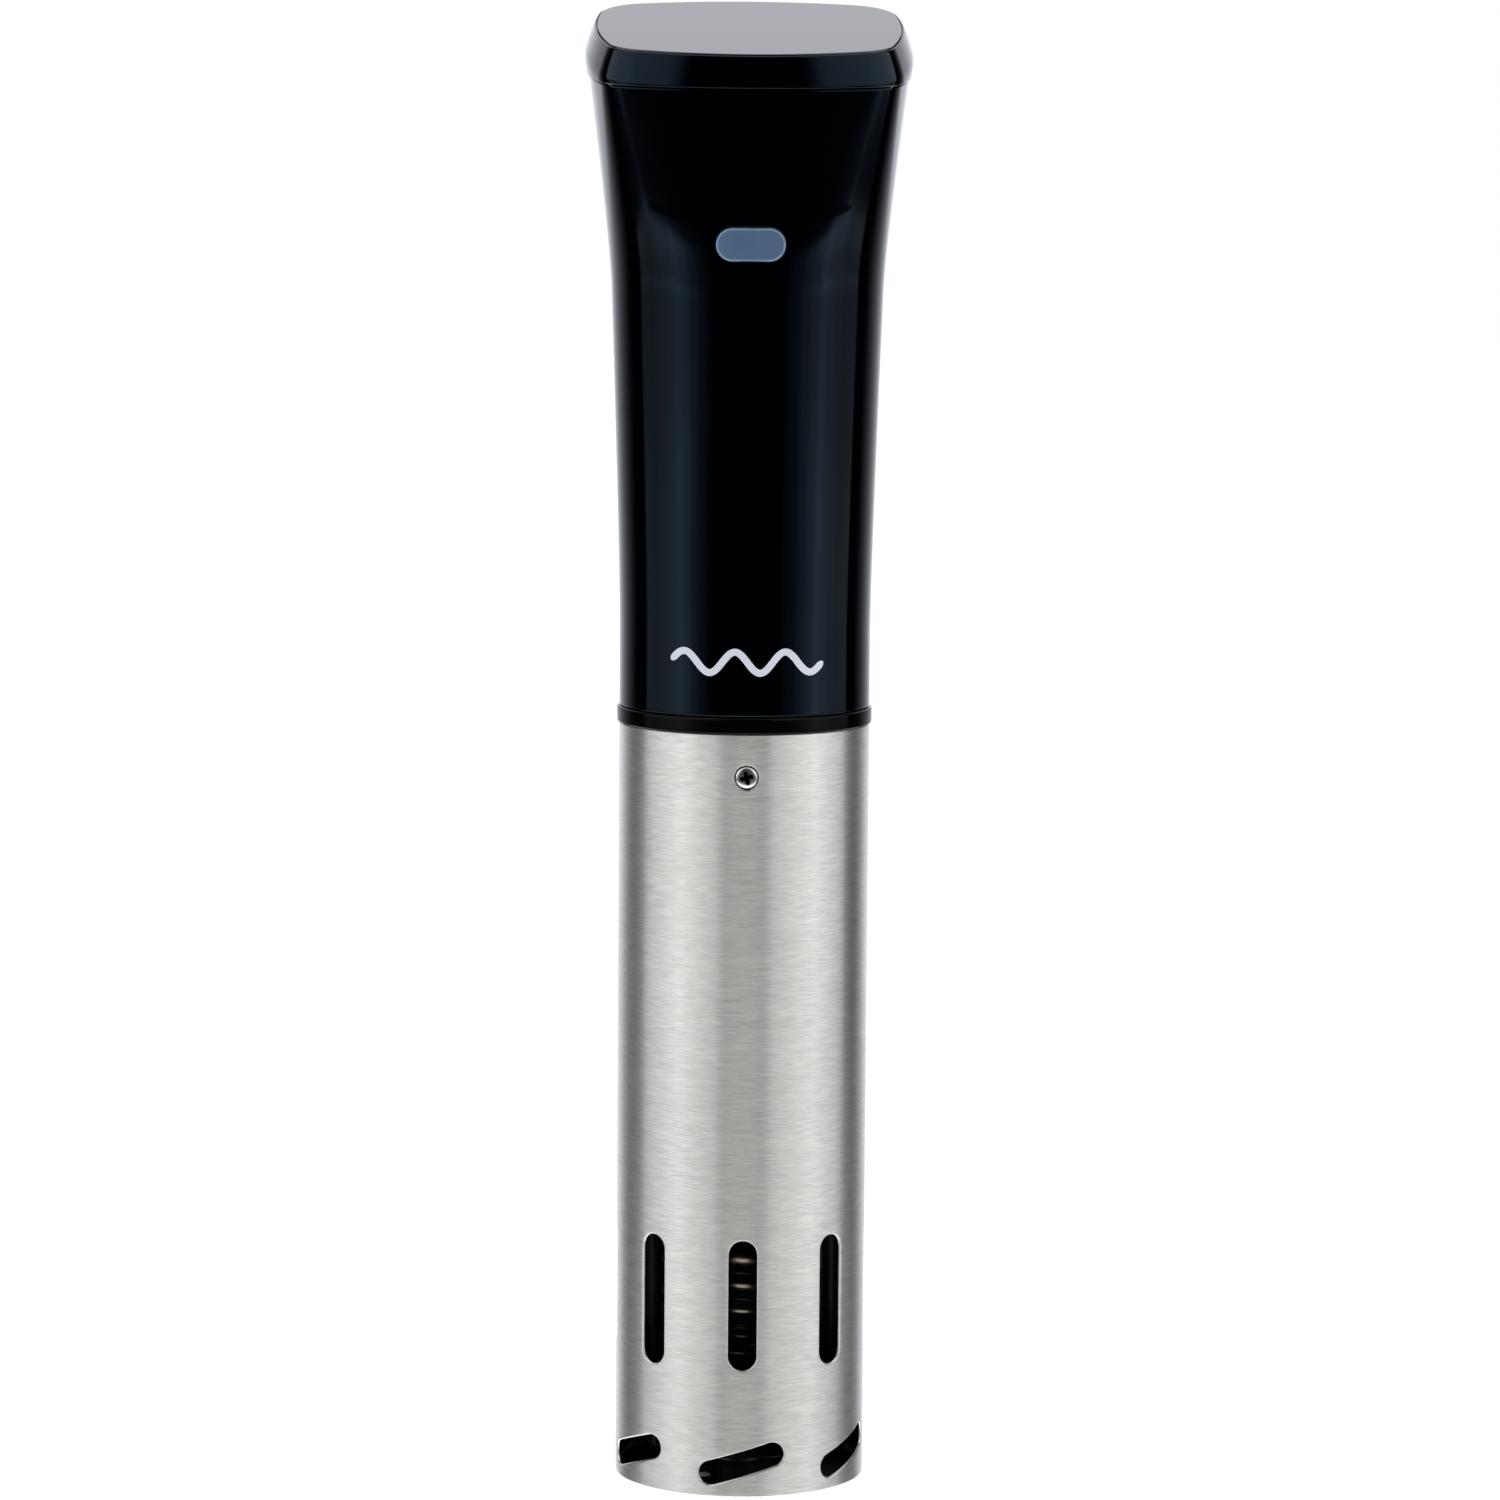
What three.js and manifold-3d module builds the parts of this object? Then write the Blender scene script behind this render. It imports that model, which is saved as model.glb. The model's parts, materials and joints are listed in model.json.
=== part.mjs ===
// A sous vide circulator: a slotted steel tube with a heater, a pump and sensors in it, a glossy head
// with the motor and the electronics, and a sprung clip that holds the whole on the wall of a pot.
// Millimetres, +Z up. The origin is the middle of the foot that it stands on, and the front faces -Y.
import * as THREE from "three";
import { mergeVertices } from "three/addons/utils/BufferGeometryUtils.js";
import Module from "manifold-3d";

const wasm = await Module();
wasm.setup();

// ---------- Driving dimensions ----------

const GAP = 0.25; // between pieces that touch
const DEGREE = Math.PI / 180;
const TURN = 2 * Math.PI;

const tube = { radius: 31, wall: 0.8, top: 189, segments: 48 };
const collar = { radius: 31.6, bore: 28.8, top: 193.2, edge: 0.8 };
const inletSlots = { count: 8, width: 7, length: 32.5, height: 47.9 };
const outletSlots = { count: 6, width: 6.1, length: 22.2, height: 8.2, slope: 16.6 * DEGREE };
const tubeScrews = { count: 3, height: 178.6, headRadius: 2.75, shankRadius: 1.45, length: 5.4 };

// The housing is round where it meets the tube and flares into a rounded rectangle at the head.
const housing = {
  bottom: collar.top + GAP,
  wall: 2.2,
  taperFrom: 210,
  taperTo: 353,
  taper: 4.4,
  flareFrom: 295,
  segments: 40,
};
const head = { halfWidth: 39.7, sideArc: 72, corner: 10 };
const frontFace = { depth: 37.5, arc: 60 };
const backFace = { depth: 35.8, arc: 98 };

// Three sloping planes, each given by its height on the axis and its rise towards the back.
const seamPlane = { height: 348, rise: 0.094 };
const creasePlane = { height: 353, rise: 0.186 };
const panelPlane = { height: 359.8, rise: 0.196 };
const bezel = { proud: 0.6, chamfer: 2.6, rim: 0.4, wall: 4.6, lip: 4.5, ledge: 2.1 };

const statusLight = { length: 16.8, width: 8, height: 307.7, thickness: 2.4 };

const shaft = { radius: 2, bottom: 3.2, top: 183 };
const motor = { radius: 17.5, bottom: 203, top: 246, shaftRadius: 1.6 };
const coil = { wire: 2.75, radius: 17, pitch: 6.5, turns: 5, bottom: 28.5, top: 172, inner: 9.5 };
const rods = { count: 4, radius: 2, circle: 24.5, first: 22.5 * DEGREE };
const bulkhead = { bottom: 165, floor: 169, top: 200, bore: 24.6, spigot: 28.5 };

const clip = {
  pivotY: 46.5,
  pivotZ: 240,
  pinRadius: 1.8,
  width: 30,
  mouth: 36.5, // the fixed pad's face
  closed: 0.8, // between the pads when the spring has closed the jaws
  jawTop: 190,
  jawBottom: 168,
};
const gland = { height: 320, barrel: 6, flange: 9, bore: 3.6, end: 45 };

// ---------- Materials ----------

function material(color, roughness, metalness, extra = {}) {
  return new THREE.MeshStandardMaterial({ color, roughness, metalness, ...extra });
}

const blackGloss = material(0x08090b, 0.12, 0);
const blackSatin = material(0x101113, 0.45, 0);
const blackRubber = material(0x0c0c0d, 0.75, 0);
const panelGlass = material(0x0b0c0e, 0.06, 0);
const lensPlastic = material(0x5d7391, 0.25, 0, { transparent: true, opacity: 0.9 });
const brushedSteel = material(0xb9b8b5, 0.32, 1);
const polishedSteel = material(0xcfcfcf, 0.18, 1);
const springSteel = material(0x8b8d90, 0.3, 1);
const zincPlate = material(0x9a9c9e, 0.35, 1);
const boardGreen = material(0x1d5a35, 0.5, 0);
const whiteNylon = material(0xd8d5cc, 0.5, 0);
const greyPlastic = material(0x4a4d50, 0.5, 0);
const bronze = material(0xa9783c, 0.35, 1);
const ledBlue = material(0x1b2e4b, 0.3, 0);
const componentYellow = material(0xb9a23a, 0.45, 0);
const cableGrey = material(0x9b9da0, 0.6, 0);

// ---------- Solids ----------

function solidOf(geometry) {
  const bare = (geometry.index ? geometry.toNonIndexed() : geometry.clone());
  bare.deleteAttribute("normal");
  bare.deleteAttribute("uv");
  const merged = mergeVertices(bare, 1e-4);
  return new wasm.Manifold(
    new wasm.Mesh({
      numProp: 3,
      vertProperties: merged.attributes.position.array,
      triVerts: new Uint32Array(merged.index.array),
    }),
  );
}

function geometryOf(solid) {
  const made = solid.getMesh();
  const geometry = new THREE.BufferGeometry();
  geometry.setAttribute("position", new THREE.BufferAttribute(made.vertProperties, 3));
  geometry.setIndex(new THREE.BufferAttribute(made.triVerts, 1));
  geometry.computeVertexNormals();
  return geometry;
}

function cut(geometry, ...tools) {
  return geometryOf(tools.reduce((solid, tool) => solid.subtract(solidOf(tool)), solidOf(geometry)));
}

function join(...geometries) {
  const [first, ...others] = geometries.map(solidOf);
  return geometryOf(others.reduce((solid, other) => solid.add(other), first));
}

function common(a, b) {
  return geometryOf(solidOf(a).intersect(solidOf(b)));
}

// A box from its lowest to its highest corner.
function box([x0, y0, z0], [x1, y1, z1]) {
  const geometry = new THREE.BoxGeometry(x1 - x0, y1 - y0, z1 - z0);
  return geometry.translate((x0 + x1) / 2, (y0 + y1) / 2, (z0 + z1) / 2);
}

// An upright cylinder from one height to another.
function post(radius, from, to, segments = 20, x = 0, y = 0) {
  const geometry = new THREE.CylinderGeometry(radius, radius, to - from, segments);
  return geometry.rotateX(Math.PI / 2).translate(x, y, (from + to) / 2);
}

// A cylinder along X, centred on x = 0.
function crossPin(radius, length, segments, y, z) {
  const geometry = new THREE.CylinderGeometry(radius, radius, length, segments);
  return geometry.rotateZ(Math.PI / 2).translate(0, y, z);
}

// A cylinder along Y, from one y to another.
function depthPin(radius, from, to, segments, x, z) {
  const geometry = new THREE.CylinderGeometry(radius, radius, to - from, segments);
  return geometry.translate(x, (from + to) / 2, z);
}

// A body of revolution about Z. The profile's [radius, height] points run up its outside.
function revolved(profile, segments = 40) {
  const points = profile.map(([radius, height]) => new THREE.Vector2(radius, height));
  return new THREE.LatheGeometry(points, segments).rotateX(Math.PI / 2);
}

// A ring of rectangular section.
function ring(outer, inner, from, to, segments = 40) {
  return revolved([[inner, from], [outer, from], [outer, to], [inner, to], [inner, from]], segments);
}

function onCircle(radius, angle) {
  return [radius * Math.sin(angle), -radius * Math.cos(angle)];
}

function stadium(length, width, slope = 0) {
  const reach = (length - width) / 2;
  const shape = new THREE.Shape();
  const [dx, dy] = [reach * Math.cos(slope), reach * Math.sin(slope)];
  shape.absarc(dx, dy, width / 2, slope - Math.PI / 2, slope + Math.PI / 2);
  shape.absarc(-dx, -dy, width / 2, slope + Math.PI / 2, slope + 1.5 * Math.PI);
  return shape;
}

// A shape drawn as seen from the front, made solid from y = -far to y = -near and turned about Z.
function fromFront(shape, near, far, height, turn = 0, curveSegments = 6) {
  const geometry = new THREE.ExtrudeGeometry(shape, {
    depth: far - near,
    bevelEnabled: false,
    curveSegments,
  });
  return geometry.rotateX(Math.PI / 2).translate(0, -near, height).rotateZ(turn);
}

// A side profile of [y, z] points, made solid across X.
function fromSide(points, width, holes = []) {
  const shape = new THREE.Shape(points.map(([y, z]) => new THREE.Vector2(y, z)));
  holes.forEach(([y, z, radius]) => {
    shape.holes.push(new THREE.Path().absarc(y, z, radius, 0, TURN, true));
  });
  const geometry = new THREE.ExtrudeGeometry(shape, { depth: width, bevelEnabled: false, curveSegments: 12 });
  return geometry.rotateY(Math.PI / 2).rotateX(Math.PI / 2).translate(-width / 2, 0, 0);
}

function tubeAlong(points, radius, sides, steps) {
  const circle = new THREE.Shape().absarc(0, 0, radius, 0, TURN);
  return new THREE.ExtrudeGeometry(circle, {
    extrudePath: new THREE.CatmullRomCurve3(points, false, "centripetal"),
    steps,
    curveSegments: sides,
    bevelEnabled: false,
  });
}

// ---------- Outline of the housing and the head ----------

// Zero below 0, then a smooth start into a straight climb that reaches 1 at 1.
function ramp(t, softness) {
  return t <= 0 ? 0 : (t * t * (1 + softness)) / (t + softness);
}

// Where the corner's arc is centred, between the face's arc and the side's arc.
function cornerCentre({ depth, arc }) {
  const [face, side] = [arc - head.corner, head.sideArc - head.corner];
  let [x, y] = [head.halfWidth - head.corner, depth - head.corner];
  for (let pass = 0; pass < 12; pass += 1) {
    x = head.halfWidth - head.corner - side + Math.sqrt(side * side - y * y);
    y = depth - head.corner - face + Math.sqrt(face * face - x * x);
  }
  return { x, y };
}

const frontCorner = cornerCentre(frontFace);
const backCorner = cornerCentre(backFace);

// The head's outline, where its wall faces the given angle from the front.
function headOutline(angle) {
  const [nx, ny] = onCircle(1, angle);
  const { depth, arc } = ny < 0 ? frontFace : backFace;
  const corner = ny < 0 ? frontCorner : backCorner;
  const [face, side] = [arc - head.corner, head.sideArc - head.corner];
  const [ax, ay] = [Math.abs(nx), Math.abs(ny)];
  let { x, y } = corner;
  if (face * ax < corner.x) {
    x = face * ax;
    y = depth - head.corner - face * (1 - ay);
  } else if (side * ay < corner.y) {
    x = head.halfWidth - head.corner - side * (1 - ax);
    y = side * ay;
  }
  return [Math.sign(nx) * x + head.corner * nx, Math.sign(ny) * y + head.corner * ny];
}

// A point of the housing's outer surface at a height, where its wall faces the given angle.
function outline(angle, z, offset = 0) {
  const [nx, ny] = onCircle(1, angle);
  const taper = ramp((z - housing.taperFrom) / (housing.taperTo - housing.taperFrom), 0.15);
  const flare = ramp((z - housing.flareFrom) / (housing.taperTo - housing.flareFrom), 0.3);
  const round = tube.radius + housing.taper * taper + offset;
  const [hx, hy] = headOutline(angle);
  const full = tube.radius + housing.taper;
  return new THREE.Vector3(
    round * nx + flare * (hx - full * nx),
    round * ny + flare * (hy - full * ny),
    z,
  );
}

const lowered = (plane, by) => ({ ...plane, height: plane.height - by });

// The same, where the surface meets a sloping plane.
function outlineOn(plane, angle, offset = 0) {
  let point = outline(angle, plane.height, offset);
  for (let pass = 0; pass < 4; pass += 1) {
    point = outline(angle, plane.height + plane.rise * point.y, offset);
  }
  point.z = plane.height + plane.rise * point.y;
  return point;
}

function aroundOutline(pointAt) {
  return Array.from({ length: housing.segments }, (_, i) => pointAt((i * TURN) / housing.segments));
}

// Rings of points joined in turn. A closed loft returns to its first ring, an open one is capped.
function loft(rings, closed) {
  const count = rings[0].length;
  const positions = rings.flat().flatMap((p) => [p.x, p.y, p.z]);
  const triangles = [];
  const strips = closed ? rings.length : rings.length - 1;
  for (let r = 0; r < strips; r += 1) {
    const [low, high] = [r * count, ((r + 1) % rings.length) * count];
    for (let i = 0; i < count; i += 1) {
      const next = (i + 1) % count;
      triangles.push(low + i, low + next, high + next, low + i, high + next, high + i);
    }
  }
  const last = (rings.length - 1) * count;
  for (let i = 1; !closed && i < count - 1; i += 1) {
    triangles.push(0, i + 1, i, last, last + i, last + i + 1);
  }
  const geometry = new THREE.BufferGeometry();
  geometry.setAttribute("position", new THREE.Float32BufferAttribute(positions, 3));
  geometry.setIndex(triangles);
  return geometry;
}

const sideHeights = [215, 235, 255, 275, 292, 305, 318, 332];

function housingRings(offset, from, heights) {
  return [
    aroundOutline((angle) => outline(angle, from, offset)),
    ...heights.map((z) => aroundOutline((angle) => outline(angle, z, offset))),
    aroundOutline((angle) => outlineOn(seamPlane, angle, offset)),
  ];
}

// The space that the housing fills, grown by an offset: what is fitted to its outside is cut by this.
const housingSpace = (offset) => loft(housingRings(offset, 150, sideHeights), false);

// ---------- Screws ----------

// A countersunk screw with a cross recess: its head's face is at z = 0, and it points down.
function countersunkScrew({ headRadius, shankRadius, length }) {
  const rim = 0.35;
  const depth = headRadius - shankRadius + rim;
  const body = revolved(
    [[0, -length], [shankRadius, -length], [shankRadius, -depth], [headRadius, -rim], [headRadius, 0], [0, 0]],
    14,
  );
  const slot = headRadius * 0.62;
  const arm = (x, y) => box([-x, -y, -1.2], [x, y, 1]);
  return cut(body, arm(slot, slot / 4), arm(slot / 4, slot));
}

// A pan-head screw, placed the same way but with its head standing above z = 0.
function panScrew(headRadius, shankRadius, length, headHeight = 1.7) {
  const body = revolved(
    [
      [0, -length],
      [shankRadius, -length],
      [shankRadius, 0],
      [headRadius, 0],
      [headRadius * 0.96, headHeight * 0.6],
      [headRadius * 0.6, headHeight],
      [0, headHeight],
    ],
    12,
  );
  const slot = headRadius * 0.55;
  const arm = (x, y) => box([-x, -y, headHeight - 0.9], [x, y, headHeight + 1]);
  return cut(body, arm(slot, slot / 4), arm(slot / 4, slot));
}

// ---------- Steel tube and what is in it ----------

function steelTube() {
  const wall = ring(tube.radius, tube.radius - tube.wall, 0, tube.top, tube.segments);
  const [near, far] = [tube.radius - 4, tube.radius + 4];
  const { count, width, length, height } = inletSlots;
  const inlets = Array.from({ length: count }, (_, i) =>
    fromFront(stadium(length, width, Math.PI / 2), near, far, height, (i * TURN) / count, 4));
  const outlet = stadium(outletSlots.length, outletSlots.width, outletSlots.slope);
  const outlets = Array.from({ length: outletSlots.count }, (_, i) =>
    fromFront(outlet, near, far, outletSlots.height, (i * TURN) / outletSlots.count, 4));
  const screwHole = new THREE.Shape().absarc(0, 0, tubeScrews.headRadius + GAP, 0, TURN);
  const holes = Array.from({ length: tubeScrews.count }, (_, i) =>
    fromFront(screwHole, near, far, tubeScrews.height, (i * TURN) / tubeScrews.count, 8));
  return cut(wall, ...inlets, ...outlets, ...holes);
}

// The closed foot: a plate with drain holes and a blind bearing seat in its middle.
function footPlate() {
  const plate = revolved(
    [[0, 0], [tube.radius - tube.wall - GAP, 0], [tube.radius - tube.wall - GAP, 2.2], [6, 2.2], [6, 7], [0, 7]],
    36,
  );
  const drains = Array.from({ length: 6 }, (_, i) => {
    const [x, y] = onCircle(19, (i * TURN) / 6 + 30 * DEGREE);
    return post(2.4, -1, 4, 10, x, y);
  });
  return cut(plate, post(3.2, 2.6, 8, 20), ...drains);
}

const lowerBush = () => ring(3.2 - GAP, shaft.radius + 0.1, 2.6 + GAP, 6.8, 20);

function impeller() {
  const hub = ring(5.5, shaft.radius + GAP, 7.6, 14, 20);
  const disc = ring(24, shaft.radius + GAP, 8, 9.2, 40);
  const blade = new THREE.Shape();
  const [bend, thick] = [22, 1.5];
  blade.absarc(0, bend, bend, -84 * DEGREE, -24 * DEGREE);
  blade.absarc(0, bend, bend - thick, -24 * DEGREE, -84 * DEGREE, true);
  const blades = Array.from({ length: 6 }, (_, i) =>
    new THREE.ExtrudeGeometry(blade, { depth: 5.2, bevelEnabled: false, curveSegments: 6 })
      .translate(2, 0, 8.6)
      .rotateZ((i * TURN) / 6));
  return cut(join(hub, disc, ...blades), post(shaft.radius + GAP, 0, 20));
}

// A plate over the impeller with the pump's intake in its middle, held by the four rods.
function pumpCover() {
  const plate = ring(tube.radius - tube.wall - GAP, 12, 17.5, 19.3, tube.segments);
  return cut(plate, ...rodPlaces().map(([x, y]) => post(1.5, 17, 20, 12, x, y)));
}

function rodPlaces() {
  return Array.from({ length: rods.count }, (_, i) =>
    onCircle(rods.circle, rods.first + (i * TURN) / rods.count));
}

function supportRod() {
  const neck = 1.2;
  return revolved(
    [
      [0, 17.5],
      [neck, 17.5],
      [neck, 19.3 + GAP],
      [rods.radius, 19.3 + GAP],
      [rods.radius, bulkhead.bottom - GAP],
      [0, bulkhead.bottom - GAP],
    ],
    14,
  );
}

// The heater: a leg down, a helix, and a leg back up inside it.
const coilStart = Math.PI; // at the back
const coilReturn = coilStart + 50 * DEGREE;

function heaterCoil() {
  const { radius, pitch, turns, bottom, top, inner } = coil;
  const helixTop = bottom + pitch * turns;
  const at = (r, angle, z) => {
    const [x, y] = onCircle(r, angle);
    return new THREE.Vector3(x, y, z);
  };
  const points = [at(radius, coilStart, top), at(radius, coilStart, 120), at(radius, coilStart, helixTop + 8)];
  const perTurn = 14;
  for (let i = 1; i <= perTurn * turns; i += 1) {
    const share = i / (perTurn * turns);
    points.push(at(radius, coilStart + share * turns * TURN, helixTop - share * pitch * turns));
  }
  points.push(
    at(radius - 3.5, coilReturn - 24 * DEGREE, bottom - 1.5),
    at(inner, coilReturn, bottom + 5),
    at(inner, coilReturn, bottom + 16),
    at(inner, coilReturn, 120),
    at(inner, coilReturn, top),
  );
  return tubeAlong(points, coil.wire, 4, 100);
}

function probe(radius, tip) {
  const dome = radius * 0.7;
  return revolved(
    [
      [0, tip],
      [dome, tip + radius * 0.3],
      [radius, tip + radius],
      [radius, bulkhead.floor + 4],
      [0, bulkhead.floor + 4],
    ],
    14,
  );
}

const probes = [
  { name: "temperature_probe", radius: 1.9, tip: 72, angle: 67.5 * DEGREE, circle: 22.2 },
  { name: "level_electrode_low", radius: 1.5, tip: 84, angle: 247.5 * DEGREE, circle: 22.3 },
  { name: "level_electrode_high", radius: 1.5, tip: 128, angle: 157.5 * DEGREE, circle: 22.3 },
];

// The sealed wall between water and electronics: a plug in the tube with a spigot for the housing.
function bulkheadBody() {
  const { bottom, floor, top, bore, spigot } = bulkhead;
  const plug = tube.radius - tube.wall - GAP;
  const grooveFrom = 195.4;
  const grooveTo = 198;
  const body = revolved(
    [
      [0, bottom],
      [plug, bottom],
      [plug, tube.top],
      [spigot, tube.top],
      [spigot, grooveFrom],
      [spigot - 2.2, grooveFrom],
      [spigot - 2.2, grooveTo],
      [spigot, grooveTo],
      [spigot, top],
      [bore, top],
      [bore, floor],
      [0, floor],
    ],
    36,
  );
  const through = (radius, [x, y]) => post(radius, bottom - 1, floor + 1, 12, x, y);
  const legs = [onCircle(coil.radius, coilStart), onCircle(coil.inner, coilReturn)];
  const screwHole = new THREE.Shape().absarc(0, 0, tubeScrews.shankRadius + GAP, 0, TURN);
  return cut(
    body,
    through(shaft.radius + GAP, [0, 0]),
    ...legs.map((place) => through(coil.wire + 0.4, place)),
    ...probes.map((p) => through(p.radius + GAP, onCircle(p.circle, p.angle))),
    ...Array.from({ length: tubeScrews.count }, (_, i) =>
      fromFront(screwHole, 25.4, 29.4, tubeScrews.height, (i * TURN) / tubeScrews.count, 6)),
    ...Array.from({ length: tubeScrews.count }, (_, i) =>
      post(tubeScrews.headRadius + GAP, 28.6, 33, 12)
        .rotateX(Math.PI / 2)
        .translate(0, 0, tubeScrews.height)
        .rotateZ((i * TURN) / tubeScrews.count)),
  );
}

function shaftGuide() {
  return ring(6, 4.6, 66, bulkhead.bottom - GAP, 20);
}

const guideBush = () => ring(4.6 - GAP, shaft.radius + 0.1, 66, 74, 20);
const shaftSeal = () => ring(6.5, shaft.radius + 0.1, bulkhead.floor + GAP, 173, 20);

// A rubber collar between the tube and the housing, a little proud of both.
function collarRing() {
  const { radius, bore, top, edge } = collar;
  const bottom = tube.top + 0.05;
  return revolved(
    [
      [bore, bottom],
      [radius - edge, bottom],
      [radius, bottom + edge],
      [radius, top - edge],
      [radius - edge, top],
      [bore, top],
      [bore, bottom],
    ],
    40,
  );
}

function sealRing() {
  return new THREE.TorusGeometry(27.45, 0.95, 6, 32).translate(0, 0, 196.7);
}

// ---------- Motor ----------

function motorBracket() {
  const plate = ring(27.9, 7, bulkhead.top + GAP, bulkhead.top + 2.2, 40);
  const places = [-1, 1].map((side) => side * 12.5);
  return cut(plate, ...places.map((x) => post(1.75, 195, 210, 12, x, 0)));
}

function motorCan() {
  const { radius, bottom, top, shaftRadius } = motor;
  const can = revolved(
    [
      [shaftRadius + GAP, bottom - 2.6],
      [5, bottom - 2.6],
      [5, bottom],
      [radius - 1, bottom],
      [radius, bottom + 1],
      [radius, top - 1.5],
      [radius - 1.5, top],
      [6, top],
      [6, top + 2],
      [shaftRadius + GAP, top + 2],
      [shaftRadius + GAP, bottom - 2.6],
    ],
    24,
  );
  return cut(can, ...[-12.5, 12.5].map((x) => post(1.6, bottom - 1, bottom + 6, 12, x, 0)));
}

function coolingFan() {
  const hub = ring(6, motor.shaftRadius + GAP, 249.2, 257, 20);
  const blade = new THREE.BoxGeometry(14.5, 1.2, 8).rotateX(38 * DEGREE).translate(12.4, 0, 253.1);
  const blades = Array.from({ length: 7 }, (_, i) => blade.clone().rotateZ((i * TURN) / 7));
  return cut(join(hub, ...blades), post(motor.shaftRadius + GAP, 240, 265));
}

function shaftCoupling() {
  return ring(5, shaft.radius + GAP, 177, 192, 20);
}

// ---------- Chassis and electronics ----------

function innerChassis() {
  const shelfAt = 262;
  const wallInside = housing.wall + 1;
  const shelf = loft(
    [shelfAt, shelfAt + 2].map((z) => aroundOutline((angle) => outline(angle, shelfAt, -wallInside).setZ(z))),
    false,
  );
  const rails = [-1, 1].map((side) =>
    box([side * 25.2 - 1.8, -3, bulkhead.top + 2.2 + GAP], [side * 25.2 + 1.8, 3, shelfAt + 1]));
  const back = common(box([-22, 22.4, shelfAt + 1], [22, 24.4, 338]), housingSpace(-wallInside));
  const stands = [[-17, 274], [17, 274], [-17, 330], [17, 330]].map(([x, z]) =>
    depthPin(2.5, 20 + GAP, 23, 12, x, z));
  const airway = post(14, 250, 270, 30);
  return cut(join(shelf, ...rails, back, ...stands), airway);
}

const powerBoard = () => box([-21, 18.4, 267], [21, 20, 336]);

function transformer() {
  const core = box([-19, 2.4, 276], [-1, 18.1, 294]);
  const winding = box([-17, 4.4, 294], [-3, 16.1, 297.5]);
  return join(core, winding);
}

const capacitor = () => depthPin(6.5, -1, 18.1, 20, 11.5, 290);
const relay = () => box([-18, 4.5, 304], [-3, 18.1, 323]);
const terminalBlock = () => box([3, 8.5, 318], [18.5, 18.1, 327]);
const fuse = () => new THREE.CylinderGeometry(2.6, 2.6, 18, 12).rotateZ(Math.PI / 2).translate(9, 14.6, 273.5);

function heatSink() {
  const spine = box([1.5, 14.6, 300], [19.5, 16.4, 314]);
  const fins = Array.from({ length: 5 }, (_, i) => box([1.5 + 4.2 * i, 6, 300], [2.7 + 4.2 * i, 15, 314]));
  return join(spine, ...fins);
}

// ---------- Housing and head ----------

function backOf(z) {
  return outline(Math.PI, z).y;
}

const clipScrews = [221, 259];

function upperHousing() {
  const outer = housingRings(0, housing.bottom, sideHeights);
  const inner = housingRings(-housing.wall, housing.bottom, [240, 285, 312, 328, 339]).reverse();
  const shell = loft([...outer, ...inner], true);
  const { length, width, height } = statusLight;
  return cut(
    shell,
    fromFront(stadium(length + 2 * GAP, width + 2 * GAP), 20, 50, height, 0, 10),
    depthPin(gland.barrel + GAP, 20, 50, 24, 0, gland.height),
    ...clipScrews.map((z) => depthPin(1.8, 20, 50, 12, 0, z)),
  );
}

function statusLens() {
  const { length, width, height, thickness } = statusLight;
  const plug = fromFront(stadium(length, width), 20, 50, height, 0, 10);
  return cut(common(plug, housingSpace(0.05)), housingSpace(-thickness));
}

const statusBoard = () => box([-9, -29.9, 302], [9, -28.7, 313]);
const statusLed = () => box([-1.75, -31.2, 306.3], [1.75, -29.95, 309.1]);

function topBezel() {
  const { proud, chamfer, rim, wall, lip, ledge } = bezel;
  const inLip = -housing.wall - GAP;
  const crest = (angle, inset, drop) => {
    const edge = outlineOn(creasePlane, angle, proud);
    const [nx, ny] = onCircle(chamfer + inset, angle);
    edge.x -= nx;
    edge.y -= ny;
    edge.z = panelPlane.height + panelPlane.rise * edge.y - drop;
    return edge;
  };
  const rings = [
    (angle) => outlineOn(lowered(seamPlane, lip), angle, inLip),
    (angle) => outlineOn(lowered(seamPlane, -GAP), angle, inLip),
    (angle) => outlineOn(lowered(seamPlane, -GAP), angle, proud - 0.3),
    (angle) => outlineOn(lowered(seamPlane, -GAP - 0.3), angle, proud),
    (angle) => outlineOn(creasePlane, angle, proud),
    (angle) => crest(angle, 0, 0),
    (angle) => crest(angle, rim, 0),
    (angle) => crest(angle, rim, ledge),
    (angle) => crest(angle, wall - chamfer + 1.6, ledge),
    (angle) => outlineOn(lowered(seamPlane, lip), angle, -wall),
  ].map(aroundOutline);
  return loft(rings, true);
}

// The touch panel lies in the bezel's recess, flush with its crest.
function touchPanel() {
  const inset = bezel.chamfer + bezel.rim + GAP;
  const edge = (drop, extra) =>
    aroundOutline((angle) => {
      const point = outlineOn(creasePlane, angle, bezel.proud);
      const [nx, ny] = onCircle(inset + extra, angle);
      point.x -= nx;
      point.y -= ny;
      point.z = panelPlane.height + panelPlane.rise * point.y - drop;
      return point;
    });
  return loft([edge(2, 0), edge(0.3, 0), edge(0, 0.3)], false);
}

// ---------- Clip ----------

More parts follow.
